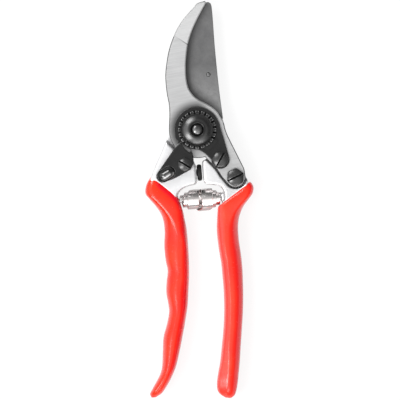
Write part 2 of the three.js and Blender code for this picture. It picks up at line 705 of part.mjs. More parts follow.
function rightForging(grow) {
  const head = closed(
    smooth(rightInnerShares.slice(0, 4).map(onHandle), 8),
    smooth(rightInnerShares.slice(4).map(onHandle), 20),
    rightOuterShares.map(onHandle),
    arc(pivot, headClearRadius, rightHeadSpan[0], rightHeadSpan[1], 10),
  );
  return bevelledPlate(inset(head, -grow), hubPlateBottom - grow, forgingFront + grow, forgingBevel)
    .add(tangBody(rightGripShares, rightTangSections, grow))
    .add(springSeat(springRight, -1, grow));
}

function hookHandleForging() {
  const pocket = plate(inset(hookOutline(), -recessGap), hookBottom - workingGap, forgingFront + overrun);
  const clear = post(pivot, headClearRadius, 0, latchTop, hubSides);
  const lockHole = post(lockScrew, screwShankRadius + workingGap, hubPlateTop, latchTop, smallSides);
  const hookHole = post(hookScrew, screwShankRadius + workingGap, 0, latchTop, smallSides);
  return rightForging(0).subtract(pocket).subtract(clear).subtract(lockHole).subtract(hookHole);
}

// The left seat stands at the grip's rim, so its hole is open to the rim
function bladeHandleGrip() {
  const rimSlot = springSeat(springLeft.clone().add(point(0, springSeatRadius)), 1, workingGap);
  const sleeve = gripBody(leftGripShares).subtract(leftForging(workingGap)).subtract(rimSlot);
  return largestPart(sleeve.subtract(springHollow()));
}

function hookHandleGrip() {
  const sleeve = gripBody(rightGripShares).subtract(rightForging(workingGap));
  return largestPart(sleeve.subtract(springHollow()));
}

function largestPart(body) {
  const parts = body.decompose();
  return parts.reduce((best, part) => (part.volume() > best.volume() ? part : best));
}

// Rubber buffer: a disc between the heads, on a stem in the left one
function buffer(grow) {
  const half = bufferThickness / 2;
  const rim = bufferRadius - bufferBevel;
  const stem = bufferStemRadius + grow;
  const geometry = turned([[0, -half - bufferStemLength], [stem, -half - bufferStemLength], [stem, -half],
    [rim, -half], [bufferRadius, -half + bufferBevel], [bufferRadius, half - bufferBevel], [rim, half],
    [0, half]], smallSides);
  return laidAcross(geometry, bufferCentre, forgingMiddle);
}

// Latch: a plate that turns on its screw, with a thumb bump above and a catch below
function thumbLatch() {
  const end = onLatch(latchEndShares);
  const local = [
    ...latchShares.map(onLatch),
    ...arc(end, latchEndRadius, latchEndSpan[0], latchEndSpan[1], 12),
    ...latchLowerShares.map(onLatch),
  ];
  const outline = local.map((corner) => corner.clone().add(latchScrew));
  const bumpPlace = onLatch(thumbBumpShares).add(latchScrew);
  const root = [[0, -latchThickness / 2], [thumbBumpRadius, -latchThickness / 2]];
  const crown = thumbBumpProfileShares.map(([r, h]) => [thumbBumpRadius * r, thumbBumpHeight * h]);
  const bump = turned([...root, ...crown], roundSides);
  bump.translate(bumpPlace.x, bumpPlace.y, latchTop);
  const catchPin = post(catchCentre(), catchRadius, lockPlateBottom, latchBottom + workingGap, pinSides);
  const hole = post(latchScrew, screwShankRadius + workingGap, 0, latchTop + overrun, smallSides);
  const body = bevelledPlate(outline, latchBottom, latchTop, latchEdge);
  return body.add(solid(bump)).add(catchPin).subtract(hole);
}

function springWasher() {
  const bore = screwShankRadius + workingGap;
  const geometry = turned([[bore, lockPlateBottom], [washerRadius, lockPlateBottom],
    [washerRadius, lockPlateTop], [bore, lockPlateTop], [bore, lockPlateBottom]], roundSides);
  geometry.translate(latchScrew.x, latchScrew.y, 0);
  return solid(geometry);
}

function hookScrewNut() {
  const top = hubPlateBottom - workingGap;
  const bore = post(hookScrew, screwShankRadius + workingGap, 0, forgingFront, smallSides);
  return plate(hexagon(hookScrew, backNutCorner, 0), top - backNutThickness, top).subtract(bore);
}

// Return spring: one strip wound as a double cone, widest in its middle turn
function springPath() {
  const turns = 2 * taperTurns + 1;
  const centre = (stripWidth + workingGap) / 2;
  const taperShift = (springLength - crossingShift) / 2 - centre;
  const wide = springMiddleRadius - stripThickness / 2;
  const narrow = springEndRadius - stripThickness / 2;
  const stations = [];
  for (let step = 0; step <= turns * stepsPerTurn; step++) {
    const turn = step / stepsPerTurn;
    const fromEnd = Math.min(turn, turns - turn);
    const rise = (wide - narrow) / (turns / 2);
    let reach = centre + (taperShift * turn) / taperTurns;
    if (turn > taperTurns) reach = centre + taperShift + crossingShift * (turn - taperTurns);
    if (turn > taperTurns + 1) reach = springLength - centre - (taperShift * (turns - turn)) / taperTurns;
    stations.push({ angle: 2 * Math.PI * (turn - taperTurns), radius: narrow + rise * fromEnd, reach });
  }
  return stations;
}

function returnSpring() {
  const rings = springPath().map(({ angle, radius, reach }) => {
    const inner = radius - stripThickness / 2;
    const outer = radius + stripThickness / 2;
    const corners = [[inner, -stripWidth / 2], [inner, stripWidth / 2], [outer, stripWidth / 2],
      [outer + stripCrown, 0], [outer, -stripWidth / 2]];
    return corners.map(([r, offset]) => (
      new THREE.Vector3(r * Math.sin(angle), r * Math.cos(angle), reach + offset)));
  });
  return laidAcross(meshed(loft(rings)), springLeft, forgingMiddle);
}

// The space that the closed spring fills, with room round it
function springHollow() {
  const narrow = springEndRadius + springRoom;
  const wide = springMiddleRadius + springRoom;
  const taper = (springLength - crossingShift - stripWidth) / 2;
  const profile = [[0, 0], [narrow, 0], [wide, taper], [wide, springLength - taper],
    [narrow, springLength], [0, springLength]];
  return laidAcross(turned(profile, smallSides), springLeft, forgingMiddle);
}

// Least gap between turns of the strip, measured on its flat faces
function springGap() {
  const stations = springPath();
  const facet = Math.cos(Math.PI / stepsPerTurn);
  let least = Infinity;
  stations.forEach((a, i) => {
    for (const b of stations.slice(i + stepsPerTurn)) {
      const turnsApart = (b.angle - a.angle) / (2 * Math.PI);
      if (Math.abs(turnsApart - Math.round(turnsApart)) > weldGap) continue;
      const beside = Math.abs(a.reach - b.reach) - stripWidth;
      const apart = Math.abs(a.radius - b.radius) * facet - stripThickness - stripCrown;
      least = Math.min(least, Math.max(beside, apart));
    }
  });
  return least;
}

console.log(`return spring: least gap between turns ${springGap().toFixed(2)} mm`);

// Materials
function finish(color, roughness, metalness) {
  return new THREE.MeshStandardMaterial({ color, roughness, metalness });
}

const forgedAlloy = () => finish(0xf0f1f2, 0.38, 0.85);
const groundSteel = () => finish(0xcfd1d4, 0.3, 1);
const bladeSteel = () => finish(0x85878a, 0.42, 0.9);
const blackSteel = () => finish(0x2e2f31, 0.35, 0.7);
const redVinyl = () => finish(0xf2402c, 0.28, 0);
const springSteel = () => finish(0xc4bdbb, 0.25, 1);
const bronze = () => finish(0xb08a52, 0.4, 0.9);
const blackRubber = () => finish(0x1c1c1e, 0.7, 0);

function piece(name, body, material) {
  const mesh = new THREE.Mesh(meshed(body), material);
  mesh.name = name;
  return mesh;
}

const bladeHandle = new THREE.Group();
bladeHandle.add(
  piece('blade_handle_forging', bladeHandleForging(), forgedAlloy()),
  piece('blade_handle_grip', bladeHandleGrip(), redVinyl()),
  piece('cutting_blade', cuttingBlade(), bladeSteel()),
  piece('pivot_bush', pivotBush(), bronze()),
  piece('rubber_buffer', buffer(0), blackRubber()),
  piece('latch_spring_washer', springWasher(), springSteel()),
  piece('latch_screw',
    slottedHexScrew(latchScrew, latchTop + workingGap, latchScrewCorner, latchScrewSlotAngle,
      hubPlateTop + workingGap), blackSteel()),
  piece('return_spring', returnSpring(), springSteel()),
);
rivetAngles.forEach((angle, i) => {
  bladeHandle.add(piece(`blade_rivet_${i + 1}`, bladeRivet(angle), groundSteel()));
});

const latch = new THREE.Group();
latch.add(piece('thumb_latch', thumbLatch(), blackSteel()));

const hookHandle = new THREE.Group();
hookHandle.add(
  piece('hook_handle_forging', hookHandleForging(), forgedAlloy()),
  piece('hook_handle_grip', hookHandleGrip(), redVinyl()),
  piece('hook_blade', hookBlade(), groundSteel()),
  piece('pivot_bolt', pivotBolt(), groundSteel()),
  piece('adjusting_nut', adjustingNut(), blackSteel()),
  piece('nut_lock_plate', nutLockPlate(), blackSteel()),
  piece('nut_lock_screw',
    slottedHexScrew(lockScrew, lockPlateTop + workingGap, lockScrewCorner, lockScrewSlotAngle,
      hubPlateTop + workingGap), blackSteel()),
  piece('hook_screw',
    slottedHexScrew(hookScrew, forgingFront + workingGap, hookScrewCorner, hookScrewSlotAngle,
      hubPlateBottom - backNutThickness), blackSteel()),
  piece('hook_screw_nut', hookScrewNut(), blackSteel()),
);

const pruner = new THREE.Group();
pruner.add(bladeHandle, latch, hookHandle);

export default pruner;
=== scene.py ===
"""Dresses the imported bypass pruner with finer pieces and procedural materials.

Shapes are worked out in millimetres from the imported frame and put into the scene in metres.
"""

import json
import math

import bmesh
import bpy
import numpy as np
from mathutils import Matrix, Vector
from mathutils.geometry import tessellate_polygon

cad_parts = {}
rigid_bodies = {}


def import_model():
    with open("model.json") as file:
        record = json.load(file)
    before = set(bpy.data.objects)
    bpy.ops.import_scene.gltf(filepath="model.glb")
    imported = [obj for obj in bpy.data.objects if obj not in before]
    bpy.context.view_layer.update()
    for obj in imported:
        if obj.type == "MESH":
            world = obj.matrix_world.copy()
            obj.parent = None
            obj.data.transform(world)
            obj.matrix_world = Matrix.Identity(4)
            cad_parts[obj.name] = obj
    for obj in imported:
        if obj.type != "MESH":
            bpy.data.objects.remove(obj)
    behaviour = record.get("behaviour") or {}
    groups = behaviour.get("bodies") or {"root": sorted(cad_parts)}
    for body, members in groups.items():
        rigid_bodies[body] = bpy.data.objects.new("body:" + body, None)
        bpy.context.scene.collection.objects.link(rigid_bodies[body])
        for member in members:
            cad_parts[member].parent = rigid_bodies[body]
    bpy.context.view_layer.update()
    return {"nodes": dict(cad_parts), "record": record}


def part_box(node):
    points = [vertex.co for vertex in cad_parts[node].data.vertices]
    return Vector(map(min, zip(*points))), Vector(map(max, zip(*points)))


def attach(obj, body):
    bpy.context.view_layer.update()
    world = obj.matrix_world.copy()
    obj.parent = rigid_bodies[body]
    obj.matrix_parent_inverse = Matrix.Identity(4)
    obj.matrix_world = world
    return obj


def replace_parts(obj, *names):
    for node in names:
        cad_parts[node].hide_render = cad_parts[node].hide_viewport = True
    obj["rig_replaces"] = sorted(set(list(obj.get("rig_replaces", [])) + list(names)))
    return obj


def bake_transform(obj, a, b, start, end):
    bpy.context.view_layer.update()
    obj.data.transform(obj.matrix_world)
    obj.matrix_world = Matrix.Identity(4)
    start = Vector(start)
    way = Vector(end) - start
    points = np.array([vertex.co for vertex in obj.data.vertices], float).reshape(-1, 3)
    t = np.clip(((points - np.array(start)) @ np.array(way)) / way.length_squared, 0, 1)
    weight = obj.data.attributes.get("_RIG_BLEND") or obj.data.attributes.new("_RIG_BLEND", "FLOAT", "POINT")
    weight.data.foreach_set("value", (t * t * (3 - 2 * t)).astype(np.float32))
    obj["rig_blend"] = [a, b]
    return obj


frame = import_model()

MM = 0.001
WELD = 1e-6  # metres
FINE_STEP = 0.35  # between the points of a finer outline
CORNER_TURN = math.radians(26)  # an outline that turns by more keeps a sharp corner
STRAIGHT_LENGTH = 4.0  # a longer side stays straight, if it is much longer than those beside it
STRAIGHT_RATIO = 3
LEAST_SIDE = 0.03  # between two corners of an outline
LEAST_TURN = math.radians(0.6)  # at a corner of an outline
LEAST_AREA = 0.5  # square millimetres, of an outline that counts
LEAST_BISECTOR = 0.45  # keeps an inset sharp corner from running away
SMOOTH_ANGLE = math.radians(34)
FLAT_RIM = 0.12  # a flat strip inside a rounded rim, which keeps the face beyond it flat
SMOOTH = "SMOOTHSTEP"

# The photograph's frame: the camera looks straight down on it
PHOTO_WIDTH = 400
PIXEL = 0.5457  # mm
PIVOT_PIXEL = (197.2, 129.8)
CAMERA_DISTANCE = 2.5  # metres
SENSOR_WIDTH = 36.0

# The plan of the handles, as in the solids
HANDLE_SPREAD = 60.0
HANDLE_REACH = 146.5
HEAD_REACH = 46.0
HEAD_REACH_SHARE = 0.316
CROSS_TILT = math.radians(4.5)
GRIP_THICKNESS = 16.0


def box(node):
    """Lowest and highest corner of a CAD node, in mm."""
    return [np.array(corner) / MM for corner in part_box(node)]


def heights(node):
    """Lowest and highest Z of a CAD node, in mm."""
    return [corner[2] for corner in box(node)]


def middle_of(node):
    """Middle of a CAD node in the plan."""
    return (sum(box(node)) / 2)[:2]


def in_plan(x, y):
    """Place in mm, from the pivot, of a pixel of the photograph."""
    return np.array([(x - PIVOT_PIXEL[0]) * PIXEL, (PIVOT_PIXEL[1] - y) * PIXEL])


def unit(vectors):
    return vectors / np.linalg.norm(vectors, axis=-1, keepdims=True)


def eased(share):
    """A share from 0 to 1 that starts and ends gently."""
    return share * share * (3 - 2 * share)


# Outer end of the left grip's mouth, and the direction from there into the grip
LEFT_MOUTH = (-25.2, -24.9)
LEFT_INWARD = (-0.632, -0.775)

# Ends of the crease across the hook blade, and the direction from it to the tip
CREASE_LEFT = in_plan(176, 36.7)
CREASE_RIGHT = in_plan(187.4, 44.4)
BEYOND_CREASE = unit(CREASE_RIGHT - CREASE_LEFT) @ np.array([[0, 1], [-1, 0]])

HUB_LOW, FRONT = heights("blade_handle_forging")
FORGING_MIDDLE = (FRONT + HUB_LOW) / 2
BLADE_LOW, BLADE_TOP = heights("cutting_blade")
HOOK_LOW, TONGUE_TOP = heights("hook_blade")
PLATE_LOW, TEETH_TOP = heights("nut_lock_plate")
PLATE_TOP = heights("latch_spring_washer")[1]
NUT_LOW, NUT_TOP = heights("adjusting_nut")
NUT_FLANGE_TOP = NUT_LOW + 2.0
NUT_RADIUS = box("adjusting_nut")[1][1]
LATCH_LOW, LATCH_TOP = NUT_LOW, NUT_FLANGE_TOP
BOLT_TOP = heights("pivot_bolt")[1]
BOLT_HEAD_RADIUS = box("pivot_bolt")[1][0]
BOLT_HEAD_TOP = 2.6
BODIES = {node: body for body, nodes in frame["record"]["behaviour"]["bodies"].items() for node in nodes}


# Outlines

def turning(points):
    """Turn at each corner of a closed outline, in radians, positive to the left."""
    incoming = points - np.roll(points, 1, 0)
    outgoing = np.roll(points, -1, 0) - points
    cross = incoming[:, 0] * outgoing[:, 1] - incoming[:, 1] * outgoing[:, 0]
    return np.arctan2(cross, (incoming * outgoing).sum(1))


def loops_at(node, height):
    """Closed outlines of a CAD node cut at a height, in mm, the largest first and turning left."""
    mesh = bmesh.new()
    mesh.from_mesh(frame["nodes"][node].data)
    bmesh.ops.remove_doubles(mesh, verts=mesh.verts, dist=WELD)
    cut = bmesh.ops.bisect_plane(
        mesh, geom=mesh.verts[:] + mesh.edges[:] + mesh.faces[:], dist=WELD / 100,
        plane_co=(0, 0, height * MM), plane_no=(0, 0, 1))
    mesh.verts.index_update()
    links = {}
    for edge in (item for item in cut["geom_cut"] if isinstance(item, bmesh.types.BMEdge)):
        a, b = edge.verts
        links.setdefault(a.index, []).append(b.index)
        links.setdefault(b.index, []).append(a.index)
    places = {vert.index: (vert.co.x / MM, vert.co.y / MM) for vert in mesh.verts if vert.index in links}
    mesh.free()
    loops = []
    while links:
        walk = [min(links)]
        while True:
            onward = links[walk[-1]].pop()
            links[onward].remove(walk[-1])
            if onward == walk[0]:
                break
            walk.append(onward)
        links = {index: others for index, others in links.items() if others}
        loops.append(np.array([places[index] for index in walk]))
    loops = [cleaned(loop) for loop in loops if abs(area(loop)) > LEAST_AREA]
    return sorted(loops, key=lambda loop: -abs(area(loop)))


def area(points):
    after = np.roll(points, -1, 0)
    return (points[:, 0] * after[:, 1] - points[:, 1] * after[:, 0]).sum() / 2


def cleaned(points):
    """Drops doubled and straight corners, turns the outline left and starts it at its highest corner."""
    if area(points) < 0:
        points = points[::-1]
    points = points[np.linalg.norm(points - np.roll(points, 1, 0), axis=1) > LEAST_SIDE]
    points = points[np.abs(turning(points)) > LEAST_TURN]
    return np.roll(points, -int(points[:, 1].argmax()), 0)


def rounded(points, clear=0.0, step=FINE_STEP):
    """A finer outline through the same corners. Sharp ones stay, with no point nearer to them than clear."""
    count = len(points)
    sharp = np.abs(turning(points)) > CORNER_TURN
    lengths = np.linalg.norm(np.roll(points, -1, 0) - points, axis=1)
    made = []
    for i in range(count):
        a, b = points[i], points[(i + 1) % count]
        before = a - (b - a) if sharp[i] else points[i - 1]
        after = b + (b - a) if sharp[(i + 1) % count] else points[(i + 2) % count]
        beside = max(lengths[i - 1], lengths[(i + 1) % count])
        straight = lengths[i] > STRAIGHT_LENGTH and lengths[i] > STRAIGHT_RATIO * beside
        pieces = max(1, math.ceil(lengths[i] / step))
        for k in range(pieces):
            share = k / pieces
            near_start = sharp[i] and 0 < share * lengths[i] < clear
            near_end = sharp[(i + 1) % count] and (1 - share) * lengths[i] < clear
            if near_start or (near_end and k > 0):
                continue
            made.append(a + (b - a) * share if straight else between(before, a, b, after, share))
    return np.array(made)


def between(before, a, b, after, share):
    """A point of the centripetal curve from a to b."""
    knots = np.cumsum([0.0] + [max(np.linalg.norm(q - p), 1e-6) ** 0.5
                               for p, q in ((before, a), (a, b), (b, after))])
    t = knots[1] + (knots[2] - knots[1]) * share
    first = a + (a - before) * (t - knots[1]) / (knots[1] - knots[0])
    second = a + (b - a) * (t - knots[1]) / (knots[2] - knots[1])
    third = b + (after - b) * (t - knots[2]) / (knots[3] - knots[2])
    left = first + (second - first) * (t - knots[0]) / (knots[2] - knots[0])
    right = second + (third - second) * (t - knots[1]) / (knots[3] - knots[1])
    return left + (right - left) * share


def inset(points, distance):
    """Each corner of a left-turning outline moved inward. The distance is one number or one a corner."""
    incoming = unit(points - np.roll(points, 1, 0))
    outgoing = unit(np.roll(points, -1, 0) - points)
    first = np.column_stack([-incoming[:, 1], incoming[:, 0]])
    second = np.column_stack([-outgoing[:, 1], outgoing[:, 0]])
    bisector = unit(first + second)
    reach = np.maximum((bisector * first).sum(1), LEAST_BISECTOR)
    return points + bisector * (distance / reach)[:, None]


def smooth_path(points, per_side):
    """An open curve through the given rows, whatever they hold, with that many steps between two of them."""
    rows = np.array(points, float)
    padded = np.vstack([2 * rows[0] - rows[1], rows, 2 * rows[-1] - rows[-2]])
    made = []
    for i in range(1, len(padded) - 2):
        a, b, c, d = padded[i - 1:i + 3]
        for k in range(per_side):
            t = k / per_side
            made.append(0.5 * (2 * b + (c - a) * t + (2 * a - 5 * b + 4 * c - d) * t ** 2
                               + (3 * b - a - 3 * c + d) * t ** 3))
    return np.array(made + [rows[-1]])


def outlines_of(node, height, clear=0.0, step=FINE_STEP, hole_step=FINE_STEP):
    """Finer outline of a CAD node cut at a height, and those of its holes."""
    outer, *holes = loops_at(node, height)
    return rounded(outer, clear, step), [rounded(hole, step=hole_step) for hole in holes]


def round_top(top, size, steps=4):
    """Inset and height rows of a plate's rounded upper rim, from its side to its top."""
    turns = [math.pi / 2 * k / steps for k in range(steps + 1)]
    return [(size * (1 - math.cos(t)), top - size * (1 - math.sin(t))) for t in turns]


def round_rims(low, top, low_size, top_size):
    """Inset and height rows of a plate's whole side, from the bottom to the top, with rounded rims."""
    lower = [(inward, low + top - z) for inward, z in reversed(round_top(top, low_size))]
    return lower + round_top(top, top_size)


# Bodies

def level_ring(outline, inward, z):
    """The outline moved inward, at a height. Both can be one number or one a corner."""
    count = len(outline)
    return np.column_stack([inset(outline, np.broadcast_to(inward, count)), np.broadcast_to(z, count)])


def plate(outline, profile, holes=()):
    """A plate from its side's inset and height rows. Each of them can be one number or one a corner."""
    (first, low), (last, top) = profile[0], profile[-1]
    profile = [(first + FLAT_RIM, low), *profile, (last + FLAT_RIM, top)]
    return capped([level_ring(outline, inward, z) for inward, z in profile], holes)


def capped(rings, holes=()):
    """A body from level rings with equal counts, closed by flat faces that leave the holes open."""
    positions, faces = skin(rings)
    count = len(rings[0])
    levels = [[list(range(count))], [list(range(len(positions) - count, len(positions)))]]
    for hole in holes:
        start, size = len(positions), len(hole)
        for z in (rings[0][0][2], rings[-1][0][2]):
            positions.extend((x, y, z) for x, y in hole)
        for i in range(size):
            j = (i + 1) % size
            faces.append((start + j, start + i, start + size + i, start + size + j))
        levels[0].append(list(range(start, start + size)))
        levels[1].append(list(range(start + size, start + 2 * size)))
    for rims in levels:
        flat = [index for rim in rims for index in rim]
        sheet = [[Vector((positions[i][0], positions[i][1], 0)) for i in rim] for rim in rims]
        faces.extend(tuple(flat[i] for i in triangle) for triangle in tessellate_polygon(sheet))
    return positions, faces


def skin(rings, closed=False):
    """Joins rings of equal length into a body's side. A ring of one point ends it in a tip."""
    positions, starts, faces = [], [], []
    for ring in rings:
        starts.append(len(positions))
        positions.extend(tuple(corner) for corner in ring)
    pairs = [(i, i + 1) for i in range(len(rings) - 1)] + ([(len(rings) - 1, 0)] if closed else [])
    for a, b in pairs:
        count = max(len(rings[a]), len(rings[b]))
        for i in range(count):
            j = (i + 1) % count
            if len(rings[a]) == 1:
                faces.append((starts[a], starts[b] + j, starts[b] + i))
            elif len(rings[b]) == 1:
                faces.append((starts[a] + i, starts[a] + j, starts[b]))
            else:
                faces.append((starts[a] + i, starts[a] + j, starts[b] + j, starts[b] + i))
    return positions, faces


def ring(radius, height, sides, place=(0, 0)):
    """A level ring. The radius is one number or one a side, and none at all gives the point on the axis."""
    if np.ndim(radius) == 0 and radius < 1e-6:
        return np.array([[place[0], place[1], height]])
    turns = 2 * math.pi * np.arange(sides) / sides
    return np.column_stack([place[0] + radius * np.cos(turns), place[1] + radius * np.sin(turns),
                            np.broadcast_to(height, sides)])


def turned(profile, sides, place=(0, 0), closed=False):
    """A body turned about +Z, from rows of radius and height."""
    return skin([ring(radius, height, sides, place) for radius, height in profile], closed)


def block(size, place, turn=0.0):
    """A box with its middle at the given place, turned about +Z, as something to cut with."""
    half = np.array(size) / 2
    corners = np.array([(-1, -1), (1, -1), (1, 1), (-1, 1)]) * half[:2]
    spin = np.array([[math.cos(turn), -math.sin(turn)], [math.sin(turn), math.cos(turn)]])
    corners = corners @ spin.T + np.array(place[:2])
    levels = [np.column_stack([corners, np.full(4, place[2] + z)]) for z in (-half[2], half[2])]
    positions, faces = skin(levels)
    return positions, faces + [(3, 2, 1, 0), (4, 5, 6, 7)]


def laid_across(body, place):
    """Turns a body made along +Z so that it lies along the tilted cross axis."""
    positions, faces = body
    points = np.array(positions)
    points = np.column_stack([points[:, 2], points[:, 1], -points[:, 0]])
    c, s = math.cos(CROSS_TILT), math.sin(CROSS_TILT)
    points[:, :2] = points[:, :2] @ np.array([[c, s], [-s, c]])
    return [tuple(corner) for corner in points + np.array(place)], faces


def placed(name, data):
    """A new object in the scene."""
    made = bpy.data.objects.new(name, data)
    bpy.context.scene.collection.objects.link(made)
    return made


def thing(name, body):
    """A new object from a body in mm, with its faces turned outward."""
    positions, faces = body
    mesh = bpy.data.meshes.new(name)
    mesh.from_pydata([Vector(corner) * MM for corner in positions], [], faces)
    work = bmesh.new()
    work.from_mesh(mesh)
    bmesh.ops.remove_doubles(work, verts=work.verts, dist=WELD)
    bmesh.ops.recalc_face_normals(work, faces=work.faces)
    work.to_mesh(mesh)
    work.free()
    return placed(name, mesh)


def settle(obj):
    """Gives the object the mesh that its modifiers make, and clears them."""
    graph = bpy.context.evaluated_depsgraph_get()
    mesh = bpy.data.meshes.new_from_object(obj.evaluated_get(graph))
    obj.modifiers.clear()
    obj.data = mesh


def cut(obj, body):
    """Takes a body away from the object."""
    cutter = thing(f"{obj.name}_cutter", body)
    change = obj.modifiers.new("Cut", "BOOLEAN")
    change.operation = "DIFFERENCE"
    change.solver = "EXACT"
    change.object = cutter
    settle(obj)
    bpy.data.objects.remove(cutter)


def dress(obj, material, node, angle=SMOOTH_ANGLE):
    """Shades the piece, gives it its material and lets it stand for a CAD node."""
    obj.data.materials.clear()
    obj.data.materials.append(material)
    obj.data.shade_smooth()
    obj.data.set_sharp_from_angle(angle=angle)
    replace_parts(obj, node)
    return obj


def further_material(obj, material, holds):
    """Gives the faces for which holds(middle in mm, normal) is true a further material."""
    obj.data.materials.append(material)
    for face in obj.data.polygons:
        if holds(np.array(face.center) / MM, face.normal):
            face.material_index = len(obj.data.materials) - 1


# Materials. Their lengths are in metres, and their noises' scales in cells a metre.

def grey(value):
    return (value, value, value, 1)


class Nodes:
    """Adds nodes to a tree. Each input of theirs is a value or another node's output."""

    def __init__(self, tree):
        self.tree = tree

    def add(self, kind, inputs, output=0, **settings):
        made = self.tree.nodes.new(kind)
        for name, value in settings.items():
            setattr(made, name, value)
        for socket, value in inputs.items():
            if isinstance(value, bpy.types.NodeSocket):
                self.tree.links.new(value, made.inputs[socket])
            else:
                made.inputs[socket].default_value = value
        return made.outputs[output]

    def parts(self, vector):
        return self.add("ShaderNodeSeparateXYZ", {0: vector}).node.outputs

    def dot(self, vector, direction):
        return self.add("ShaderNodeVectorMath", {0: vector, 1: tuple(direction)}, "Value",
                        operation="DOT_PRODUCT")

    def maths(self, operation, first, second=0.0):
        return self.add("ShaderNodeMath", {0: first, 1: second}, operation=operation)

    def product(self, first, *others):
        for other in others:
            first = self.maths("MULTIPLY", first, other)
        return first

    def spread(self, value, low, high, to_low=0.0, to_high=1.0, curve="LINEAR"):
        """Maps a value from one range to another and holds it there."""
        return self.add("ShaderNodeMapRange", {0: value, 1: low, 2: high, 3: to_low, 4: to_high},
                        interpolation_type=curve)

    def mixed(self, share, first, second):
        return self.add("ShaderNodeMix", {0: share, 6: first, 7: second}, 2, data_type="RGBA")


class Surface(Nodes):
    """A material on a Principled shader. Layers of colour are laid over its base, and closed() ends it."""

    def __init__(self, name, **sockets):
        self.material = bpy.data.materials.new(name)
        self.material.use_nodes = True
        super().__init__(self.material.node_tree)
        self.principled = self.tree.nodes["Principled BSDF"]
        for socket, value in sockets.items():
            self.principled.inputs[socket.replace("_", " ")].default_value = value
        self.place = self.add("ShaderNodeTexCoord", {}, "Object")
        self.normal = self.place.node.outputs["Normal"]
        self.x, self.y, self.z = self.parts(self.place)
        self.base = None

    def noise(self, scale, detail, stretch=(1, 1, 1), turn=0.0, warp=0.0):
        """Noise over the object's own place, turned about +Z."""
        place = self.place
        if turn:
            place = self.add("ShaderNodeVectorRotate", {"Vector": place, "Angle": -turn},
                             rotation_type="Z_AXIS")
        place = self.add("ShaderNodeMapping", {0: place, "Scale": stretch})
        return self.add("ShaderNodeTexNoise", {"Vector": place, "Scale": scale, "Detail": detail,
                                               "Distortion": warp}, "Fac")

    def varied(self, noise, low=0.0, high=1.0):
        """A value that follows a noise."""
        return self.spread(noise, 0.3, 0.7, low, high)

    def radius(self):
        """Distance from the pivot's axis."""
        flat = self.add("ShaderNodeCombineXYZ", {0: self.x, 1: self.y})
        return self.add("ShaderNodeVectorMath", {0: flat}, "Value", operation="LENGTH")

    def edges(self, distance, strength=1.0):
        """How near a point lies to an outer edge, from 0 to the given strength."""
        inside = self.add("ShaderNodeAmbientOcclusion", {"Distance": distance}, "AO", samples=8, inside=True)
        return self.spread(inside, 0.5, 0.95, strength, 0.0)

    def hollow_shade(self, distance, deep, shallow, strength):
        """How deep in a corner a point lies, from 0 to the given strength, as a mask for painted shade."""
        outside = self.add("ShaderNodeAmbientOcclusion", {"Distance": distance}, "AO", samples=8)
        return self.spread(outside, deep, shallow, strength, 0.0)

    def layer(self, share, colour):
        self.base = self.mixed(share, self.base, colour)

    def link(self, socket, value):
        self.tree.links.new(value, self.principled.inputs[socket])

    def closed(self, roughness, *bumps):
        """Links the base, the roughness and bumps, which are rows of height, strength and distance."""
        normal = {}
        for height, strength, distance in bumps:
            inputs = {"Height": height, "Strength": strength, "Distance": distance, **normal}
            normal = {"Normal": self.add("ShaderNodeBump", inputs)}
        self.link("Base Color", self.base)
        self.link("Roughness", roughness)
        self.link("Normal", normal["Normal"])
        return self.material


def red_vinyl(name, deep, bright, painted_sheen_from, painted_sheen_to, painted_sheen_right=0.0, lip=None):
    """The grips' vinyl, with painted shade that deepens it on the sides that face away from the light, and a
    painted sheen that pales it on those that face left.

    Deep and bright are its colours, and the painted sheen pales it where the normal's X goes between the two
    numbers after them. The next is how pale a painted sheen makes its upper part on the side that faces
    right, and lip is a place on the mouth's edge and the direction from there into the grip, where painted
    shade makes it deeper.
    """
    look = Surface(name, IOR=1.5, Specular_IOR_Level=0.5, Sheen_Weight=0.2, Sheen_Roughness=0.35)
    rightward = look.parts(look.normal)[0]
    look.base = look.mixed(look.varied(look.noise(60, 4)), deep, bright)
    # Painted shade: deeper red on the sides that face away from the light.
    away = look.dot(look.normal, (0.8, 0.6, 0))
    look.layer(look.spread(away, 0.1, 0.6, 0.0, 0.8), (0.95, 0.0, 0.012, 1))
    # Painted sheen: paler pink on the sides that face left, and on the upper right-facing side where asked.
    look.layer(look.spread(rightward, painted_sheen_to, painted_sheen_from, 0.7, 0.0), (1, 0.085, 0.075, 1))
    if painted_sheen_right:
        upper = look.spread(look.y, -0.09, -0.055, 0.0, painted_sheen_right)
        look.layer(look.product(look.spread(rightward, 0.5, 0.9), upper), (1, 0.14, 0.13, 1))
    # Painted shade: a deeper strip just inside the mouth's edge, on the left grip.
    if lip:
        (x, y), inward = lip
        start = np.dot((x, y), inward) * MM
        far = look.dot(look.place, (*inward, 0))
        painted_lip_shade = look.product(look.spread(far, start + 0.0006, start + 0.0013, 0.0, 0.85, SMOOTH),
                            look.spread(far, start + 0.002, start + 0.0036, 1.0, 0.0, SMOOTH),
                            look.spread(look.x, (x + 1.5) * MM, (x + 4) * MM))
        look.layer(painted_lip_shade, (0.8, 0.0, 0.014, 1))
    # Painted shade in corners.
    look.layer(look.hollow_shade(0.003, 0.2, 0.9, 0.35), (0.7, 0.004, 0.01, 1))
    return look.closed(look.spread(look.noise(700, 5), 0.45, 0.75, 0.21, 0.3),
                       (look.noise(160, 2), 0.06, 0.0006), (look.noise(1500, 3), 0.03, 0.0001))


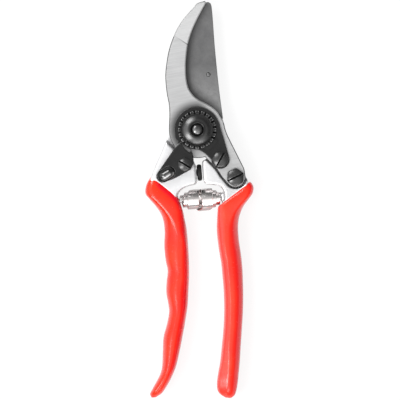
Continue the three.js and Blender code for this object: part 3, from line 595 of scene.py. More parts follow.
def forged_alloy():
    look = Surface("forged_alloy", Metallic=0.75, IOR=1.5)
    cloud = look.noise(90, 4)
    pits = look.spread(look.noise(1400, 4), 0.5, 0.8)
    look.base = look.mixed(cloud, (0.75, 0.75, 0.76, 1), (0.83, 0.83, 0.84, 1))
    # Painted shade: darker towards the right.
    look.layer(look.spread(look.x, 0.002, 0.02, 0.0, 0.3), (0.56, 0.56, 0.57, 1))
    # Painted shade in corners.
    look.layer(look.hollow_shade(0.0012, 0.1, 0.8, 0.4), (0.25, 0.25, 0.26, 1))
    look.layer(look.edges(0.0006, 0.8), grey(0.98))
    return look.closed(look.varied(cloud, 0.34, 0.46), (look.noise(500, 3), 0.12, 0.0003),
                       (pits, 0.1, 0.00008))


def ground_steel():
    """The hook blade: ground across, with a painted dark reflection round the nut, painted lighter beyond the
    crease near its tip as a painted reflection of that facet, and painted shade along the crease and in
    corners.
    """
    look = Surface("ground_steel", Metallic=0.72, IOR=1.5)
    lines = look.noise(40, 6, stretch=(2, 55, 2), turn=math.radians(11), warp=0.35)
    cloud = look.noise(110, 3)
    look.base = look.mixed(look.varied(lines), (0.51, 0.512, 0.515, 1), (0.625, 0.627, 0.63, 1))
    look.layer(look.spread(cloud, 0.35, 0.75, 0, 0.4), grey(0.65))
    look.layer(look.spread(look.y, 0.012, 0.04, 0.3, 0.0), grey(0.42))
    # Painted reflection of the dark nut: darker round it, except to its right, below it and on the tongue.
    shade = [look.spread(*row, SMOOTH) for row in (
        (look.radius(), 0.0116, 0.0182, 0.93, 0.0), (look.x, 0.0, 0.0075, 1.0, 0.1),
        (look.y, -0.0125, -0.0075, 0.3, 1.0), (look.z, FRONT * MM, (FRONT + 0.4) * MM, 1.0, 0.0))]
    look.layer(look.product(*shade), grey(0.045))
    # Painted reflection: lighter beyond the crease, on the facet near the tip.
    beyond = look.dot(look.place, (*BEYOND_CREASE, 0))
    start = CREASE_LEFT @ BEYOND_CREASE * MM
    look.layer(look.spread(beyond, start, start + 0.0002, 0.0, 0.36), grey(0.92))
    # Painted shade: a dark mark along the crease, stronger towards its right end.
    off = look.maths("ABSOLUTE", look.maths("SUBTRACT", beyond, start))
    crease_shade = look.product(look.spread(off, 0.00005, 0.0004, 1.0, 0.0),
                        look.spread(look.x, CREASE_LEFT[0] * MM, CREASE_RIGHT[0] * MM, 0.06, 0.9, SMOOTH))
    look.layer(crease_shade, grey(0.16))
    # Painted shade in corners.
    look.layer(look.hollow_shade(0.0012, 0.2, 0.8, 0.6), grey(0.12))
    look.layer(look.edges(0.0003, 0.3), grey(0.8))
    return look.closed(look.varied(lines, 0.3, 0.42), (lines, 0.03, 0.0001), (cloud, 0.03, 0.0002))


def raw_steel(name, low, high):
    """Steel as it was forged, as on the hook blade's rim. Low and high are its darkest and palest grey."""
    look = Surface(name, Metallic=1.0)
    cloud, speck = look.noise(300, 4), look.noise(1500, 3)
    look.base = look.mixed(look.varied(cloud), grey(low), grey(high))
    return look.closed(look.varied(speck, 0.4, 0.55), (cloud, 0.1, 0.0002), (speck, 0.1, 0.00005))


def turned_steel():
    """Bolt and rivets: lightly scratched."""
    look = Surface("turned_steel", Metallic=1.0)
    scratch = look.noise(700, 5)
    look.base = look.mixed(look.varied(scratch), grey(0.13), grey(0.19))
    look.layer(look.edges(0.0003, 0.5), grey(0.7))
    return look.closed(look.varied(scratch, 0.22, 0.32), (scratch, 0.12, 0.0001))


def blade_steel():
    """The cutting blade: dark, cloudy, lighter towards the pivot, with a painted shadow of the hook beside
    it.
    """
    look = Surface("blade_steel", Metallic=0.8, IOR=1.5)
    cloud, speck = look.noise(150, 5, warp=0.6), look.noise(1700, 3)
    look.base = look.mixed(look.spread(look.y, 0.014, 0.036), grey(0.305), (0.15, 0.15, 0.152, 1))
    look.layer(look.spread(cloud, 0.35, 0.7, 0, 0.5), grey(0.21))
    look.layer(look.spread(look.noise(420, 4, warp=0.4), 0.4, 0.65, 0, 0.22), grey(0.11))
    look.layer(look.spread(speck, 0.55, 0.8, 0, 0.4), grey(0.1))
    # Painted shadow of the hook, in corners, fading towards the tip.
    shade = look.product(look.hollow_shade(0.006, 0.45, 1.0, 0.75), look.spread(look.y, 0.03, 0.06, 1.0, 0.35))
    look.layer(shade, grey(0.035))
    look.layer(look.edges(0.0003, 0.8), grey(0.4))
    return look.closed(look.varied(cloud, 0.42, 0.55), (cloud, 0.04, 0.0003), (speck, 0.06, 0.00005))


def black_steel(name, worn=0.0, rubbed=None, rubbed_from=None, thumbed_and_highlit_side=None, gap_shade_ring=None,
                worn_and_highlit_ring=None):
    """Blackened steel. Worn is how bare its edges are, and lengths are in mm.

    Rubbed is how bare all of it is, as a number or as four radii round the pivot that it fades between, and
    rubbed_from holds the two heights between which that begins. The thumb's direction is the plan direction
    of the side painted bright, worn bare by the thumb and with a painted highlight. The dark ring is a pair
    of radii between which it is painted darker and matte, as painted shade in the gaps of the nut's teeth.
    The bright ring is a pair of radii over which the edges are painted bright, worn bare and with a painted
    highlight, and the height in the plan down to which they are.
    """
    look = Surface(name, IOR=1.5, Specular_IOR_Level=0.4)
    cloud, speck = look.noise(220, 4), look.noise(1800, 3)
    radius = look.radius()
    look.base = look.mixed(look.varied(cloud), grey(0.004), grey(0.01))
    roughness = look.varied(cloud, 0.17, 0.25)
    if rubbed:
        bare = rubbed
        if isinstance(rubbed, tuple):
            first, full, last, none = (size * MM for size in rubbed)
            bare = look.product(look.spread(radius, first, full), look.spread(radius, last, none, 1.0, 0.0))
        if rubbed_from:
            low, high = (height * MM for height in rubbed_from)
            bare = look.product(look.spread(look.z, low, high, 0.0, 1.0, SMOOTH), bare)
            roughness = look.maths("SUBTRACT", roughness, look.product(bare, 0.12))
        look.layer(bare, look.mixed(look.varied(cloud), grey(0.085), grey(0.115)))
        roughness = look.maths("ADD", roughness, look.product(bare, 0.08))
        look.link("Metallic", look.product(bare, 0.95))
    # Painted highlight, with bare metal worn by the thumb: the side facing the given direction is brighter.
    if thumbed_and_highlit_side:
        facing = look.dot(look.normal, (*thumbed_and_highlit_side, 0))
        thumbed_and_highlit_share = look.product(look.spread(facing, 0.12, 0.32, 0.0, 1.0, SMOOTH), bare)
        look.layer(thumbed_and_highlit_share, look.mixed(look.varied(cloud), grey(0.25), grey(0.36)))
    # Painted shade: darker and matte between two radii, in the gaps of the nut's teeth.
    if gap_shade_ring:
        inner, outer = (size * MM for size in gap_shade_ring)
        painted_gap_shade = look.product(look.spread(radius, inner, inner + 0.0003),
                              look.spread(radius, outer, outer + 0.0003, 1.0, 0.0))
        look.layer(painted_gap_shade, grey(0.002))
        roughness = look.maths("MAXIMUM", roughness, look.product(painted_gap_shade, 0.8))
    if worn:
        edge_wear_and_highlight = look.product(look.spread(look.noise(500, 4), 0.4, 0.6), worn)
        look.layer(look.product(look.edges(0.0004), edge_wear_and_highlight), grey(0.5))
    # Painted highlight, with bare worn edges: brighter edges over a ring of radii.
    if worn_and_highlit_ring:
        inner, outer, foot = (size * MM for size in worn_and_highlit_ring)
        edge_wear_and_highlight = look.product(look.spread(radius, inner, outer), look.spread(look.y, foot - 0.002, foot))
        look.layer(look.product(look.edges(0.0004), edge_wear_and_highlight), grey(0.5))
    return look.closed(roughness, (cloud, 0.06, 0.0002), (speck, 0.05, 0.00005))


def slot_shade():
    """The bottoms of the screws' slots, painted nearly black and matte as painted shade."""
    look = Surface("slot_shade", Specular_IOR_Level=0.1)
    dirt = look.noise(1200, 4)
    look.base = look.mixed(dirt, grey(0.002), grey(0.01))
    return look.closed(look.varied(dirt, 0.7, 0.95), (dirt, 0.2, 0.0001))


def black_rubber():
    look = Surface("black_rubber", IOR=1.5, Specular_IOR_Level=0.3)
    grain = look.noise(2600, 3)
    look.base = look.mixed(look.spread(look.noise(350, 4), 0.4, 0.8), grey(0.012), grey(0.035))
    return look.closed(look.varied(grain, 0.5, 0.7), (grain, 0.15, 0.00005))


def spring_strip():
    """Bright rolled strip, with painted reflections that make it darker underneath and along its upper
    outline, and painted shade in its corners.
    """
    look = Surface("spring_strip", Metallic=1.0)
    grain = look.noise(700, 4, stretch=(6, 1, 1))
    cloud = look.spread(look.noise(240, 3), 0.35, 0.65)
    look.base = look.mixed(cloud, (0.97, 0.93, 0.91, 1), (0.88, 0.83, 0.82, 1))
    # Painted shade in corners.
    look.layer(look.hollow_shade(0.002, 0.15, 0.8, 0.6), (0.1, 0.08, 0.075, 1))
    look.layer(look.edges(0.0002), grey(0.92))
    # Painted reflections: darker and pinkish underneath, nearly black along the upper outline.
    up = look.dot(look.normal, (-math.sin(CROSS_TILT), math.cos(CROSS_TILT), 0))
    look.layer(look.spread(up, -0.82, -0.7, 0.8, 0.0), (0.36, 0.27, 0.27, 1))
    look.layer(look.spread(up, 0.95, 0.975, 0.0, 0.95), (0.035, 0.027, 0.025, 1))
    return look.closed(look.varied(grain, 0.14, 0.26), (grain, 0.1, 0.00006))


def bearing_bronze():
    look = Surface("bearing_bronze", Metallic=1.0)
    tool = look.noise(900, 4, stretch=(1, 1, 5))
    look.base = look.mixed(look.varied(tool), (0.46, 0.28, 0.1, 1), (0.58, 0.38, 0.16, 1))
    return look.closed(look.varied(tool, 0.3, 0.45), (tool, 0.1, 0.00005))


RED_LEFT = red_vinyl("red_vinyl_left", (0.92, 0.01, 0.001, 1), (1, 0.033, 0.003, 1), -0.6, -0.95,
                     lip=(LEFT_MOUTH, LEFT_INWARD))
RED_RIGHT = red_vinyl("red_vinyl_right", (0.92, 0.02, 0.008, 1), (1, 0.045, 0.012, 1), -0.25, -0.6,
                      painted_sheen_right=0.6)
ALLOY = forged_alloy()
GROUND = ground_steel()
BRIGHT = turned_steel()
DARK_BLADE = blade_steel()
BLACK = black_steel("black_steel", 0.3)
BLACK_TEETH = black_steel("black_steel_teeth")
BLACK_SCREW = black_steel("black_steel_screw", 0.5, rubbed=0.7)
# Painted highlight on the bump's bright side, which is also worn by the thumb.
BLACK_BUMP = black_steel("black_steel_bump", rubbed=0.95, rubbed_from=(LATCH_TOP + 0.5, LATCH_TOP + 1.2),
                         thumbed_and_highlit_side=(0.42, -0.9))
# Painted highlight on the nut's and the plate's bright rings of worn edges, and painted shade in the plate's
# dark ring under the gaps of the nut's teeth.
BLACK_NUT = black_steel("black_steel_nut", rubbed=(4.3, 5.6, 7.0, 8.2), worn_and_highlit_ring=(9.2, 9.9, -20))
BLACK_PLATE = black_steel("black_steel_plate", gap_shade_ring=(7.5, 10.6), worn_and_highlit_ring=(12.1, 12.4, -2))
SLOT_SHADE = slot_shade()
RAW = raw_steel("raw_steel", 0.07, 0.14)
WORN = raw_steel("worn_steel", 0.18, 0.34)
PALE_RIM = raw_steel("pale_rim_steel", 0.3, 0.4)
RUBBER = black_rubber()
STRIP = spring_strip()
BRONZE = bearing_bronze()


# Grips

# Outer x, y and inner x, y as shares of the handles' spread and reach, then the thickness as a share
LEFT_GRIP = [
    (-0.42, -0.171, -0.167, -0.256, 0.93), (-0.466, -0.204, -0.144, -0.284, 0.98),
    (-0.476, -0.237, -0.123, -0.309, 1), (-0.436, -0.26, -0.111, -0.335, 1),
    (-0.391, -0.281, -0.097, -0.363, 1), (-0.341, -0.309, -0.087, -0.397, 1),
    (-0.311, -0.341, -0.081, -0.427, 1), (-0.3, -0.384, -0.076, -0.457, 1),
    (-0.304, -0.435, -0.072, -0.487, 1), (-0.291, -0.489, -0.07, -0.518, 1),
    (-0.273, -0.527, -0.07, -0.548, 1), (-0.282, -0.563, -0.073, -0.578, 1),
    (-0.286, -0.608, -0.077, -0.61, 1), (-0.268, -0.65, -0.082, -0.65, 1),
    (-0.261, -0.683, -0.092, -0.683, 1), (-0.282, -0.728, -0.11, -0.728, 1),
    (-0.311, -0.773, -0.13, -0.773, 1), (-0.318, -0.825, -0.155, -0.825, 0.98),
    (-0.323, -0.878, -0.185, -0.878, 0.95), (-0.338, -0.908, -0.212, -0.908, 0.92),
    (-0.373, -0.938, -0.247, -0.938, 0.88), (-0.414, -0.968, -0.288, -0.966, 0.78),
    (-0.434, -0.986, -0.322, -0.984, 0.6), (-0.42, -0.999, -0.372, -0.998, 0.28),
]
RIGHT_GRIP = [
    (0.488, -0.192, 0.217, -0.278, 0.93), (0.516, -0.212, 0.188, -0.289, 0.98),
    (0.509, -0.237, 0.18, -0.312, 1), (0.471, -0.26, 0.177, -0.338, 1),
    (0.431, -0.282, 0.175, -0.364, 1), (0.402, -0.306, 0.177, -0.39, 1),
    (0.382, -0.334, 0.184, -0.417, 1), (0.376, -0.372, 0.192, -0.443, 1),
    (0.385, -0.417, 0.204, -0.473, 1), (0.403, -0.466, 0.216, -0.503, 1),
    (0.416, -0.518, 0.226, -0.548, 1), (0.422, -0.574, 0.235, -0.589, 1),
    (0.424, -0.627, 0.24, -0.63, 1), (0.421, -0.683, 0.241, -0.683, 1),
    (0.412, -0.743, 0.235, -0.743, 1), (0.402, -0.803, 0.221, -0.803, 1),
    (0.393, -0.863, 0.206, -0.863, 0.97), (0.383, -0.908, 0.187, -0.908, 0.93),
    (0.374, -0.943, 0.176, -0.942, 0.86), (0.361, -0.973, 0.18, -0.97, 0.72),
    (0.344, -0.991, 0.207, -0.987, 0.52), (0.314, -1.001, 0.255, -0.999, 0.25),
]
GRIP_SIDES = 64
GRIP_STEPS = 6  # rings between two rows of a grip's table
RIM_SQUARENESS = 5.0
BODY_SQUARENESS = 2.2
ROUNDING_ROWS = 5.0  # rows of the table over which the section turns from the rim's to the body's
LIP_ROWS = 1.8  # rows over which the vinyl thins to its lip
LIP_STEPS = (0.0, 0.01, 0.04, 0.09, 0.16, 0.25, 0.36, 0.5, 0.66, 0.84)
LIP_DROP = 0.85
LIP_ROUND = 0.35
LIP_QUICKNESS = 4  # how many times as fast the lip's rim rounds
RIM_MOUTH = 2.2  # how far the rim's inner lip lies inside its outline

SKIN = 0.22  # the grips stay this far inside the solids' reach

# Rows of the table, and how far the crest lies from the middle there, as a share of the half width
LEFT_CREST = ((0, -0.05), (2, 0.12), (6, 0.34), (12, 0.1), (24, 0.0))
RIGHT_CREST = ((0, 0.0), (4, 0.12), (8, 0.22), (14, 0.1), (24, 0.0))

# The crease along the right grip: reach, and how much of the grip's width its lower facet takes there
CREASE_SHARES = ((0.44, 0.0), (0.5, 0.1), (0.57, 0.22), (0.65, 0.27), (0.74, 0.33), (0.83, 0.42), (0.9, 0.52),
                 (0.95, 0.56), (1.0, 0.5))
CREASE_SLOPE = 0.42  # of the facet
CREASE_DIP = 0.1
CREASE_START = 0.1  # share of the width over which the dip begins
GRIP_SMOOTH_ANGLE = math.radians(50)


def on_grip(x, y):
    """Place in the plan of shares of the handles' spread and reach."""
    size = abs(y)
    if size > HEAD_REACH_SHARE:
        beyond = (size - HEAD_REACH_SHARE) / (1 - HEAD_REACH_SHARE)
        return np.array([x * HANDLE_SPREAD, -HEAD_REACH - beyond * (HANDLE_REACH - HEAD_REACH)])
    return np.array([x * HANDLE_SPREAD, y / HEAD_REACH_SHARE * HEAD_REACH])


def grip_ring(row, squareness, shrink=0.0, drop=0.0, crease=0.0, crest=0.0):
    """An upright rounded ring between a grip's outer and inner point, at one row of its table."""
    outer, inner = on_grip(row[0], row[1]), on_grip(row[2], row[3])
    centre, half = (outer + inner) / 2, (inner - outer) / 2
    length = np.linalg.norm(half)
    turns = 2 * math.pi * (np.arange(GRIP_SIDES) + 0.5) / GRIP_SIDES
    side, up = np.cos(turns), np.sin(turns)
    side = np.sign(side) * np.abs(side) ** (2 / squareness)
    up = np.sign(up) * np.abs(up) ** (2 / squareness)
    half_height = GRIP_THICKNESS / 2 * row[4]
    if crease > 0:
        beyond = np.maximum(side - 1 + 2 * crease, 0) * length
        dip = CREASE_DIP * min(crease / CREASE_START, 1) * (beyond > 0) + CREASE_SLOPE * beyond
        up = np.minimum(up, 1 - dip / half_height)
    side = side + crest * (1 - side ** 2) * np.clip(up, 0, 1)
    flat = centre + (half / length) * (side * (length - shrink))[:, None]
    height = GRIP_THICKNESS / 2 + up * (half_height - max(shrink, SKIN) - drop)
    return np.column_stack([flat, height])


def grip(name, node, table, crests, material, creased=False):
    rows = smooth_path(table, GRIP_STEPS)

    def ring_at(place):
        """The ring at a place in the finer rows, which lies between two of them."""
        before = min(int(place), len(rows) - 2)
        row = rows[before] + (rows[before + 1] - rows[before]) * (place - before)
        lip = max(1 - place / GRIP_STEPS / LIP_ROWS, 0)
        end = max(1 - LIP_QUICKNESS * place / GRIP_STEPS / LIP_ROWS, 0)
        ease = min(place / GRIP_STEPS / ROUNDING_ROWS, 1)
        squareness = RIM_SQUARENESS + (BODY_SQUARENESS - RIM_SQUARENESS) * eased(ease)
        crest = float(np.interp(place / GRIP_STEPS, *zip(*crests)))
        crease = float(np.interp(-row[3], *zip(*CREASE_SHARES))) if creased else 0.0
        return grip_ring(row, squareness, SKIN + LIP_ROUND * (1 - math.sqrt(1 - end * end)),
                         LIP_DROP * (1 - math.sqrt(1 - lip * lip)), crease, crest)

    mouth = grip_ring(rows[0], RIM_SQUARENESS, RIM_MOUTH)
    rings = [mouth.mean(0, keepdims=True), mouth]
    rings += [ring_at(share * LIP_ROWS * GRIP_STEPS) for share in LIP_STEPS]
    rings += [ring_at(i) for i in range(math.ceil(LIP_ROWS * GRIP_STEPS), len(rows))]
    rings.append(rings[-1].mean(0, keepdims=True))
    return dress(thing(name, skin(rings)), material, node, GRIP_SMOOTH_ANGLE)


grip("left_grip", "blade_handle_grip", LEFT_GRIP, LEFT_CREST, RED_LEFT)
grip("right_grip", "hook_handle_grip", RIGHT_GRIP, RIGHT_CREST, RED_RIGHT, creased=True)


# Forgings, tumbled round

GRAIN = 0.32
TUMBLE_ROUNDS = 10
TUMBLE_FACTOR = 0.5
FORGING_SMOOTH_ANGLE = math.radians(70)


def forging(name, node):
    made = placed(name, frame["nodes"][node].data.copy())
    grain = made.modifiers.new("Grain", "REMESH")
    grain.mode = "VOXEL"
    grain.voxel_size = GRAIN * MM
    tumble = made.modifiers.new("Tumble", "SMOOTH")
    tumble.factor = TUMBLE_FACTOR
    tumble.iterations = TUMBLE_ROUNDS
    settle(made)
    dress(made, ALLOY, node, FORGING_SMOOTH_ANGLE)


forging("left_forging", "blade_handle_forging")
forging("right_forging", "hook_handle_forging")


# Blades

HOOK_RIM = 0.45
HOOK_BEVEL = 0.6
HOOK_BEVEL_FALL = 0.3
HOOK_BEVEL_CURVE = 1.2
KEEN_SHARE = 0.12  # of the cutting edge, over which its bevel begins
HUB_CORNER = (10, 0)  # the cutting edge ends at the hub, to the right of this and above it
TONGUE_ROUND = 0.35
TIP_FALL = 0.03  # how steeply the hook's front falls beyond its crease
TIP_LEAST_HEIGHT = 1.5  # above the hook's back, of what falls there
FACES_UP = 0.97  # normal's Z, above which a face belongs to the front
RAW_HUB_HEIGHT = 4  # the hook's right side is ground above this place in the plan


def hook():
    outline, holes = outlines_of("hook_blade", HOOK_LOW + 1, clear=1.0, hole_step=0.6)
    count = len(outline)
    by_hub = (outline[:, 0] > HUB_CORNER[0]) & (outline[:, 1] > HUB_CORNER[1])
    hub_end = int(np.argmin(np.where(by_hub, np.linalg.norm(outline, axis=1), math.inf)))
    share = np.clip((np.arange(count) - hub_end) / (count - 1 - hub_end), 0, 1)
    keen = np.minimum(share / KEEN_SHARE, 1)
    keen[0] = keen[-1]
    profile = [(HOOK_RIM, HOOK_LOW), (0.0, HOOK_LOW + HOOK_RIM)]
    for (round_in, round_z), part in zip(round_top(FRONT, HOOK_RIM, 3), (0, 1 / 3, 2 / 3, 1)):
        bevel_in, bevel_z = HOOK_BEVEL * part, FRONT - HOOK_BEVEL_FALL * (1 - part) ** HOOK_BEVEL_CURVE
        profile.append((round_in + (bevel_in - round_in) * keen, round_z + (bevel_z - round_z) * keen))
    made = thing("hook", plate(outline, profile, holes))
    tip_break(made)
    dress(made, GROUND, "hook_blade")
    further_material(made, RAW, lambda at, normal: normal.z < FACES_UP
                     and not (normal.x > 0 and at[1] > RAW_HUB_HEIGHT))
    further_material(made, PALE_RIM, lambda at, normal: normal.z < FACES_UP and normal.x < 0
                     and at[1] > CREASE_LEFT[1])
    tongue_outline = outlines_of("hook_blade", (FRONT + TONGUE_TOP) / 2, clear=0.5, step=0.25)[0]
    tongue = plate(tongue_outline, [(0.0, FRONT - 0.4)] + round_top(TONGUE_TOP, TONGUE_ROUND))
    dress(thing("hook_tongue", tongue), WORN, "hook_blade")


def tip_break(obj):
    """Grinds the front of the jaw's end a little lower, beyond a crease across it."""
    work = bmesh.new()
    work.from_mesh(obj.data)
    bmesh.ops.bisect_plane(
        work, geom=work.verts[:] + work.edges[:] + work.faces[:], dist=WELD,
        plane_co=(*CREASE_LEFT * MM, 0), plane_no=(*BEYOND_CREASE, 0))
    for vert in work.verts:
        far = (np.array(vert.co.xy) / MM - CREASE_LEFT) @ BEYOND_CREASE
        if far > 0 and vert.co.z / MM > HOOK_LOW + TIP_LEAST_HEIGHT:
            vert.co.z -= far * TIP_FALL * MM
    work.to_mesh(obj.data)
    work.free()


BLADE_BEVEL = 6.5
BLADE_LAND = 0.4
BLADE_RIM = 0.3
BEVEL_RUN = (0.25, 0.15)
BLADE_HUB_RADIUS = 16  # the cutting edge ends where the outline comes nearer to the pivot
BUSH_HOLE_PLACE = 15  # a hole farther from the pivot is the dimple's, which is cut anew
DIMPLE_PIXEL = (208.5, 74.2)
DIMPLE_RADIUS = 1.35


def blade():
    outline, holes = outlines_of("cutting_blade", BLADE_TOP - 0.2, clear=0.8, hole_step=0.5)
    at_hub = (np.linalg.norm(outline, axis=1) < BLADE_HUB_RADIUS) & (outline[:, 0] < 0)
    edge_end = int(np.argmax((np.arange(len(outline)) > 5) & at_hub))
    share = np.arange(len(outline)) / edge_end
    run = np.clip(np.minimum(share / BEVEL_RUN[0], (1 - share) / BEVEL_RUN[1]), 0, 1)
    ground = outline + np.column_stack([BLADE_BEVEL * run, np.zeros(len(run))])
    levels = [(ground, FLAT_RIM, BLADE_LOW), (ground, 0.0, BLADE_LOW),
              (outline, 0.0, BLADE_TOP - BLADE_LAND), (outline, BLADE_RIM * 0.3, BLADE_TOP - BLADE_RIM * 0.3),
              (outline, BLADE_RIM, BLADE_TOP), (outline, BLADE_RIM + FLAT_RIM, BLADE_TOP)]
    holes = [hole for hole in holes if np.linalg.norm(hole.mean(0)) < BUSH_HOLE_PLACE]
    made = thing("cutting_edge_blade", capped([level_ring(*level) for level in levels], holes))
    groove = [(0, -0.1), (0.5, -0.12), (0.8, -0.22), (1.0, -0.32), (DIMPLE_RADIUS, 0.02), (DIMPLE_RADIUS, 1),
              (0, 1)]
    cut(made, turned([(radius, BLADE_TOP + z) for radius, z in groove], 32, in_plan(*DIMPLE_PIXEL)))
    dress(made, DARK_BLADE, "cutting_blade")


hook()
blade()


# Nut, lock plate and bolt

NUT_TEETH = 20
TOOTH_DEPTH = 1.6
TOOTH_SHARE = 0.52
TOOTH_FLANK = 0.1
TOOTH_SIDES = 16  # of the nut's rim, a tooth
DOME_RADIUS = 7.9
DOME_RISE = 1.4
DOME_CURVE = 1.7
MOUTH_RADIUS = 3.35


def nut():
    phase = np.arange(NUT_TEETH * TOOTH_SIDES) / TOOTH_SIDES % 1
    flank = np.clip((np.minimum(phase, 1 - phase) - TOOTH_SHARE / 2) / TOOTH_FLANK, 0, 1)
    rim = NUT_RADIUS - TOOTH_DEPTH * eased(flank)
    seat = NUT_RADIUS - TOOTH_DEPTH - 0.55
    rise = NUT_TOP - NUT_FLANGE_TOP
    rows = [(MOUTH_RADIUS, NUT_LOW), (seat, NUT_LOW), (rim - 0.25, NUT_LOW), (rim, NUT_LOW + 0.25),
            (rim, NUT_FLANGE_TOP - 0.3), (rim - 0.09, NUT_FLANGE_TOP - 0.09), (rim - 0.3, NUT_FLANGE_TOP),
            (seat + 0.2, NUT_FLANGE_TOP)]
    crown = [(seat, NUT_FLANGE_TOP - 0.1), (DOME_RADIUS + 0.5, NUT_FLANGE_TOP + 0.05)]
    dome = DOME_RADIUS - MOUTH_RADIUS - 0.5
    crown += [(DOME_RADIUS - dome * f, NUT_TOP - min(rise - 0.3, DOME_RISE) * (1 - f) ** DOME_CURVE)
              for f in (0, 0.15, 0.3, 0.5, 0.7, 0.85, 1)]
    crown += [(MOUTH_RADIUS + 0.12, NUT_TOP - 0.25), (MOUTH_RADIUS, NUT_TOP - 0.6)]
    rows += [tuple(row) for row in smooth_path(crown, 4)]
    dress(thing("toothed_nut", turned(rows, len(rim), closed=True)), BLACK_NUT, "adjusting_nut")


LOCK_SPAN = (math.radians(293), math.radians(331))
LOCK_RADIUS = 12.6
LOCK_POINTS = 76
LOCK_CLEARANCE = 0.35
LOCK_TOOTH_SHARE = 0.17  # half a tooth, of a turn from one to the next
LOCK_FLANK = 0.07


def lock_plate():
    outline, holes = outlines_of("nut_lock_plate", (PLATE_LOW + PLATE_TOP) / 2, clear=0.6)
    made = thing("lock_plate", plate(outline, round_rims(PLATE_LOW, PLATE_TOP, 0.1, 0.35), holes))
    dress(made, BLACK_PLATE, "nut_lock_plate")
    turns = np.linspace(*LOCK_SPAN, LOCK_POINTS)
    places = turns / (2 * math.pi / NUT_TEETH) - 0.5
    reach = eased(np.clip((LOCK_TOOTH_SHARE - np.abs(places - np.round(places))) / LOCK_FLANK, 0, 1))
    inner = NUT_RADIUS + LOCK_CLEARANCE - (TOOTH_DEPTH - 0.05) * reach
    radii = np.concatenate([np.full(LOCK_POINTS, LOCK_RADIUS), inner[::-1]])
    angles = np.concatenate([turns, turns[::-1]])
    wall = np.column_stack([radii * np.cos(angles), radii * np.sin(angles)])
    teeth = plate(wall, [(0.0, PLATE_TOP - 0.5), (0.0, TEETH_TOP)])
    dress(thing("lock_teeth", teeth), BLACK_TEETH, "nut_lock_plate")


BOLT_SHANK_RADIUS = 4.2
BOLT_END_RADIUS = 3.2
BOLT_END_RISE = 0.95
BOLT_FLAT = 4.1  # middle of each of the cuts that flatten its head
BOLT_FLAT_WIDTH = 1.6


def bolt():
    head = BOLT_HEAD_RADIUS
    rows = [(0, 0), (head - 0.8, 0), (head - 0.25, 0.2), (head, 0.7), (head, BOLT_HEAD_TOP - 0.2),
            (head - 0.2, BOLT_HEAD_TOP), (BOLT_SHANK_RADIUS, BOLT_HEAD_TOP),
            (BOLT_SHANK_RADIUS, FRONT - 0.3), (BOLT_END_RADIUS, FRONT), (BOLT_END_RADIUS, BOLT_TOP - 1.3),
            (BOLT_END_RADIUS - 0.25, BOLT_TOP - 1.1)]
    rows += [((BOLT_END_RADIUS - 0.5) * math.cos(t), BOLT_TOP - BOLT_END_RISE * (1 - math.sin(t)))
             for t in np.linspace(0.15, math.pi / 2 - 0.1, 8)]
    rows.append((0, BOLT_TOP))
    made = thing("bolt", turned(rows, 72))
    for side in (-1, 1):
        cut(made, block((BOLT_FLAT_WIDTH, 3 * head, 2.4), (side * BOLT_FLAT, 0, 0)))
    dress(made, BRIGHT, "pivot_bolt")


nut()
lock_plate()
bolt()


# Screws with slotted, domed hexagonal heads, and the nut of one

HEX_POINTS = 96
SCREW_DOME = 1.25
SCREW_SHANK_RADIUS = 2.0
SHANK_END = HUB_LOW + 3.8
SCREW_SEAT = 0.3  # of the heads above what they sit on
SLOT_WIDTH = 1.1
SLOT_DEPTH = 1.1
SLOT_NEAR = 0.02  # slack in telling which faces are the slot's
BACK_NUT_CORNER = 4.4
BACK_NUT_BORE = 2.3


def hexagon(corner, corner_share, turn=0.0):
    """Radii of a hexagon whose corners are turned down to a share of their radius."""
    angle = 2 * math.pi * np.arange(HEX_POINTS) / HEX_POINTS - turn
    flat = corner * math.cos(math.pi / 6)
    return np.minimum(flat / np.cos((angle % (math.pi / 3)) - math.pi / 6), corner * corner_share)


def slotted_screw(name, node, seat, corner, slot_degrees, shank_end):
    """The slot runs across the whole head at its angle."""
    place, top, turn = middle_of(node), heights(node)[1], math.radians(slot_degrees)
    outline = hexagon(corner, 0.95, turn)

    def level(radius):
        return top - SCREW_DOME * (radius / corner) ** 2.2

    rows = [(0, shank_end), (SCREW_SHANK_RADIUS - 0.2, shank_end), (SCREW_SHANK_RADIUS, shank_end + 0.2),
            (SCREW_SHANK_RADIUS, seat), (outline - 0.15, seat), (outline, seat + 0.15),
            (outline, level(outline) - 0.12), (outline - 0.05, level(outline) - 0.03)]
    rows += [(outline * share, level(outline * share)) for share in (0.94, 0.8, 0.6, 0.4, 0.2)]
    made = thing(name, turned(rows + [(0, top)], HEX_POINTS, place))
    cut(made, block((4 * corner, SLOT_WIDTH, 2 * SLOT_DEPTH), (*place, top), turn))
    dress(made, BLACK_SCREW, node)
    bottom = top - SLOT_DEPTH

    def in_slot(at, normal):
        on_floor = abs(at[2] - bottom) < SLOT_NEAR and normal.z > 0.9
        inward = np.hypot(*(at[:2] - place)) < corner * 0.8
        return on_floor or at[2] > bottom and abs(normal.z) < SLOT_NEAR and inward

    # Painted shade in the slot.
    further_material(made, SLOT_SHADE, in_slot)


def back_nut():
    low, high = heights("hook_screw_nut")
    outline = hexagon(BACK_NUT_CORNER, 0.98)
    lower = low + 0.5 * (outline / BACK_NUT_CORNER) ** 6
    rows = [(BACK_NUT_BORE, high), (outline, high), (outline, lower + 0.15), (outline * 0.95, lower),
            (BACK_NUT_BORE + 0.6, low), (BACK_NUT_BORE, low + 0.4)]
    made = thing("tang_nut", turned(rows, HEX_POINTS, middle_of("hook_screw_nut"), closed=True))
    dress(made, BLACK, "hook_screw_nut")


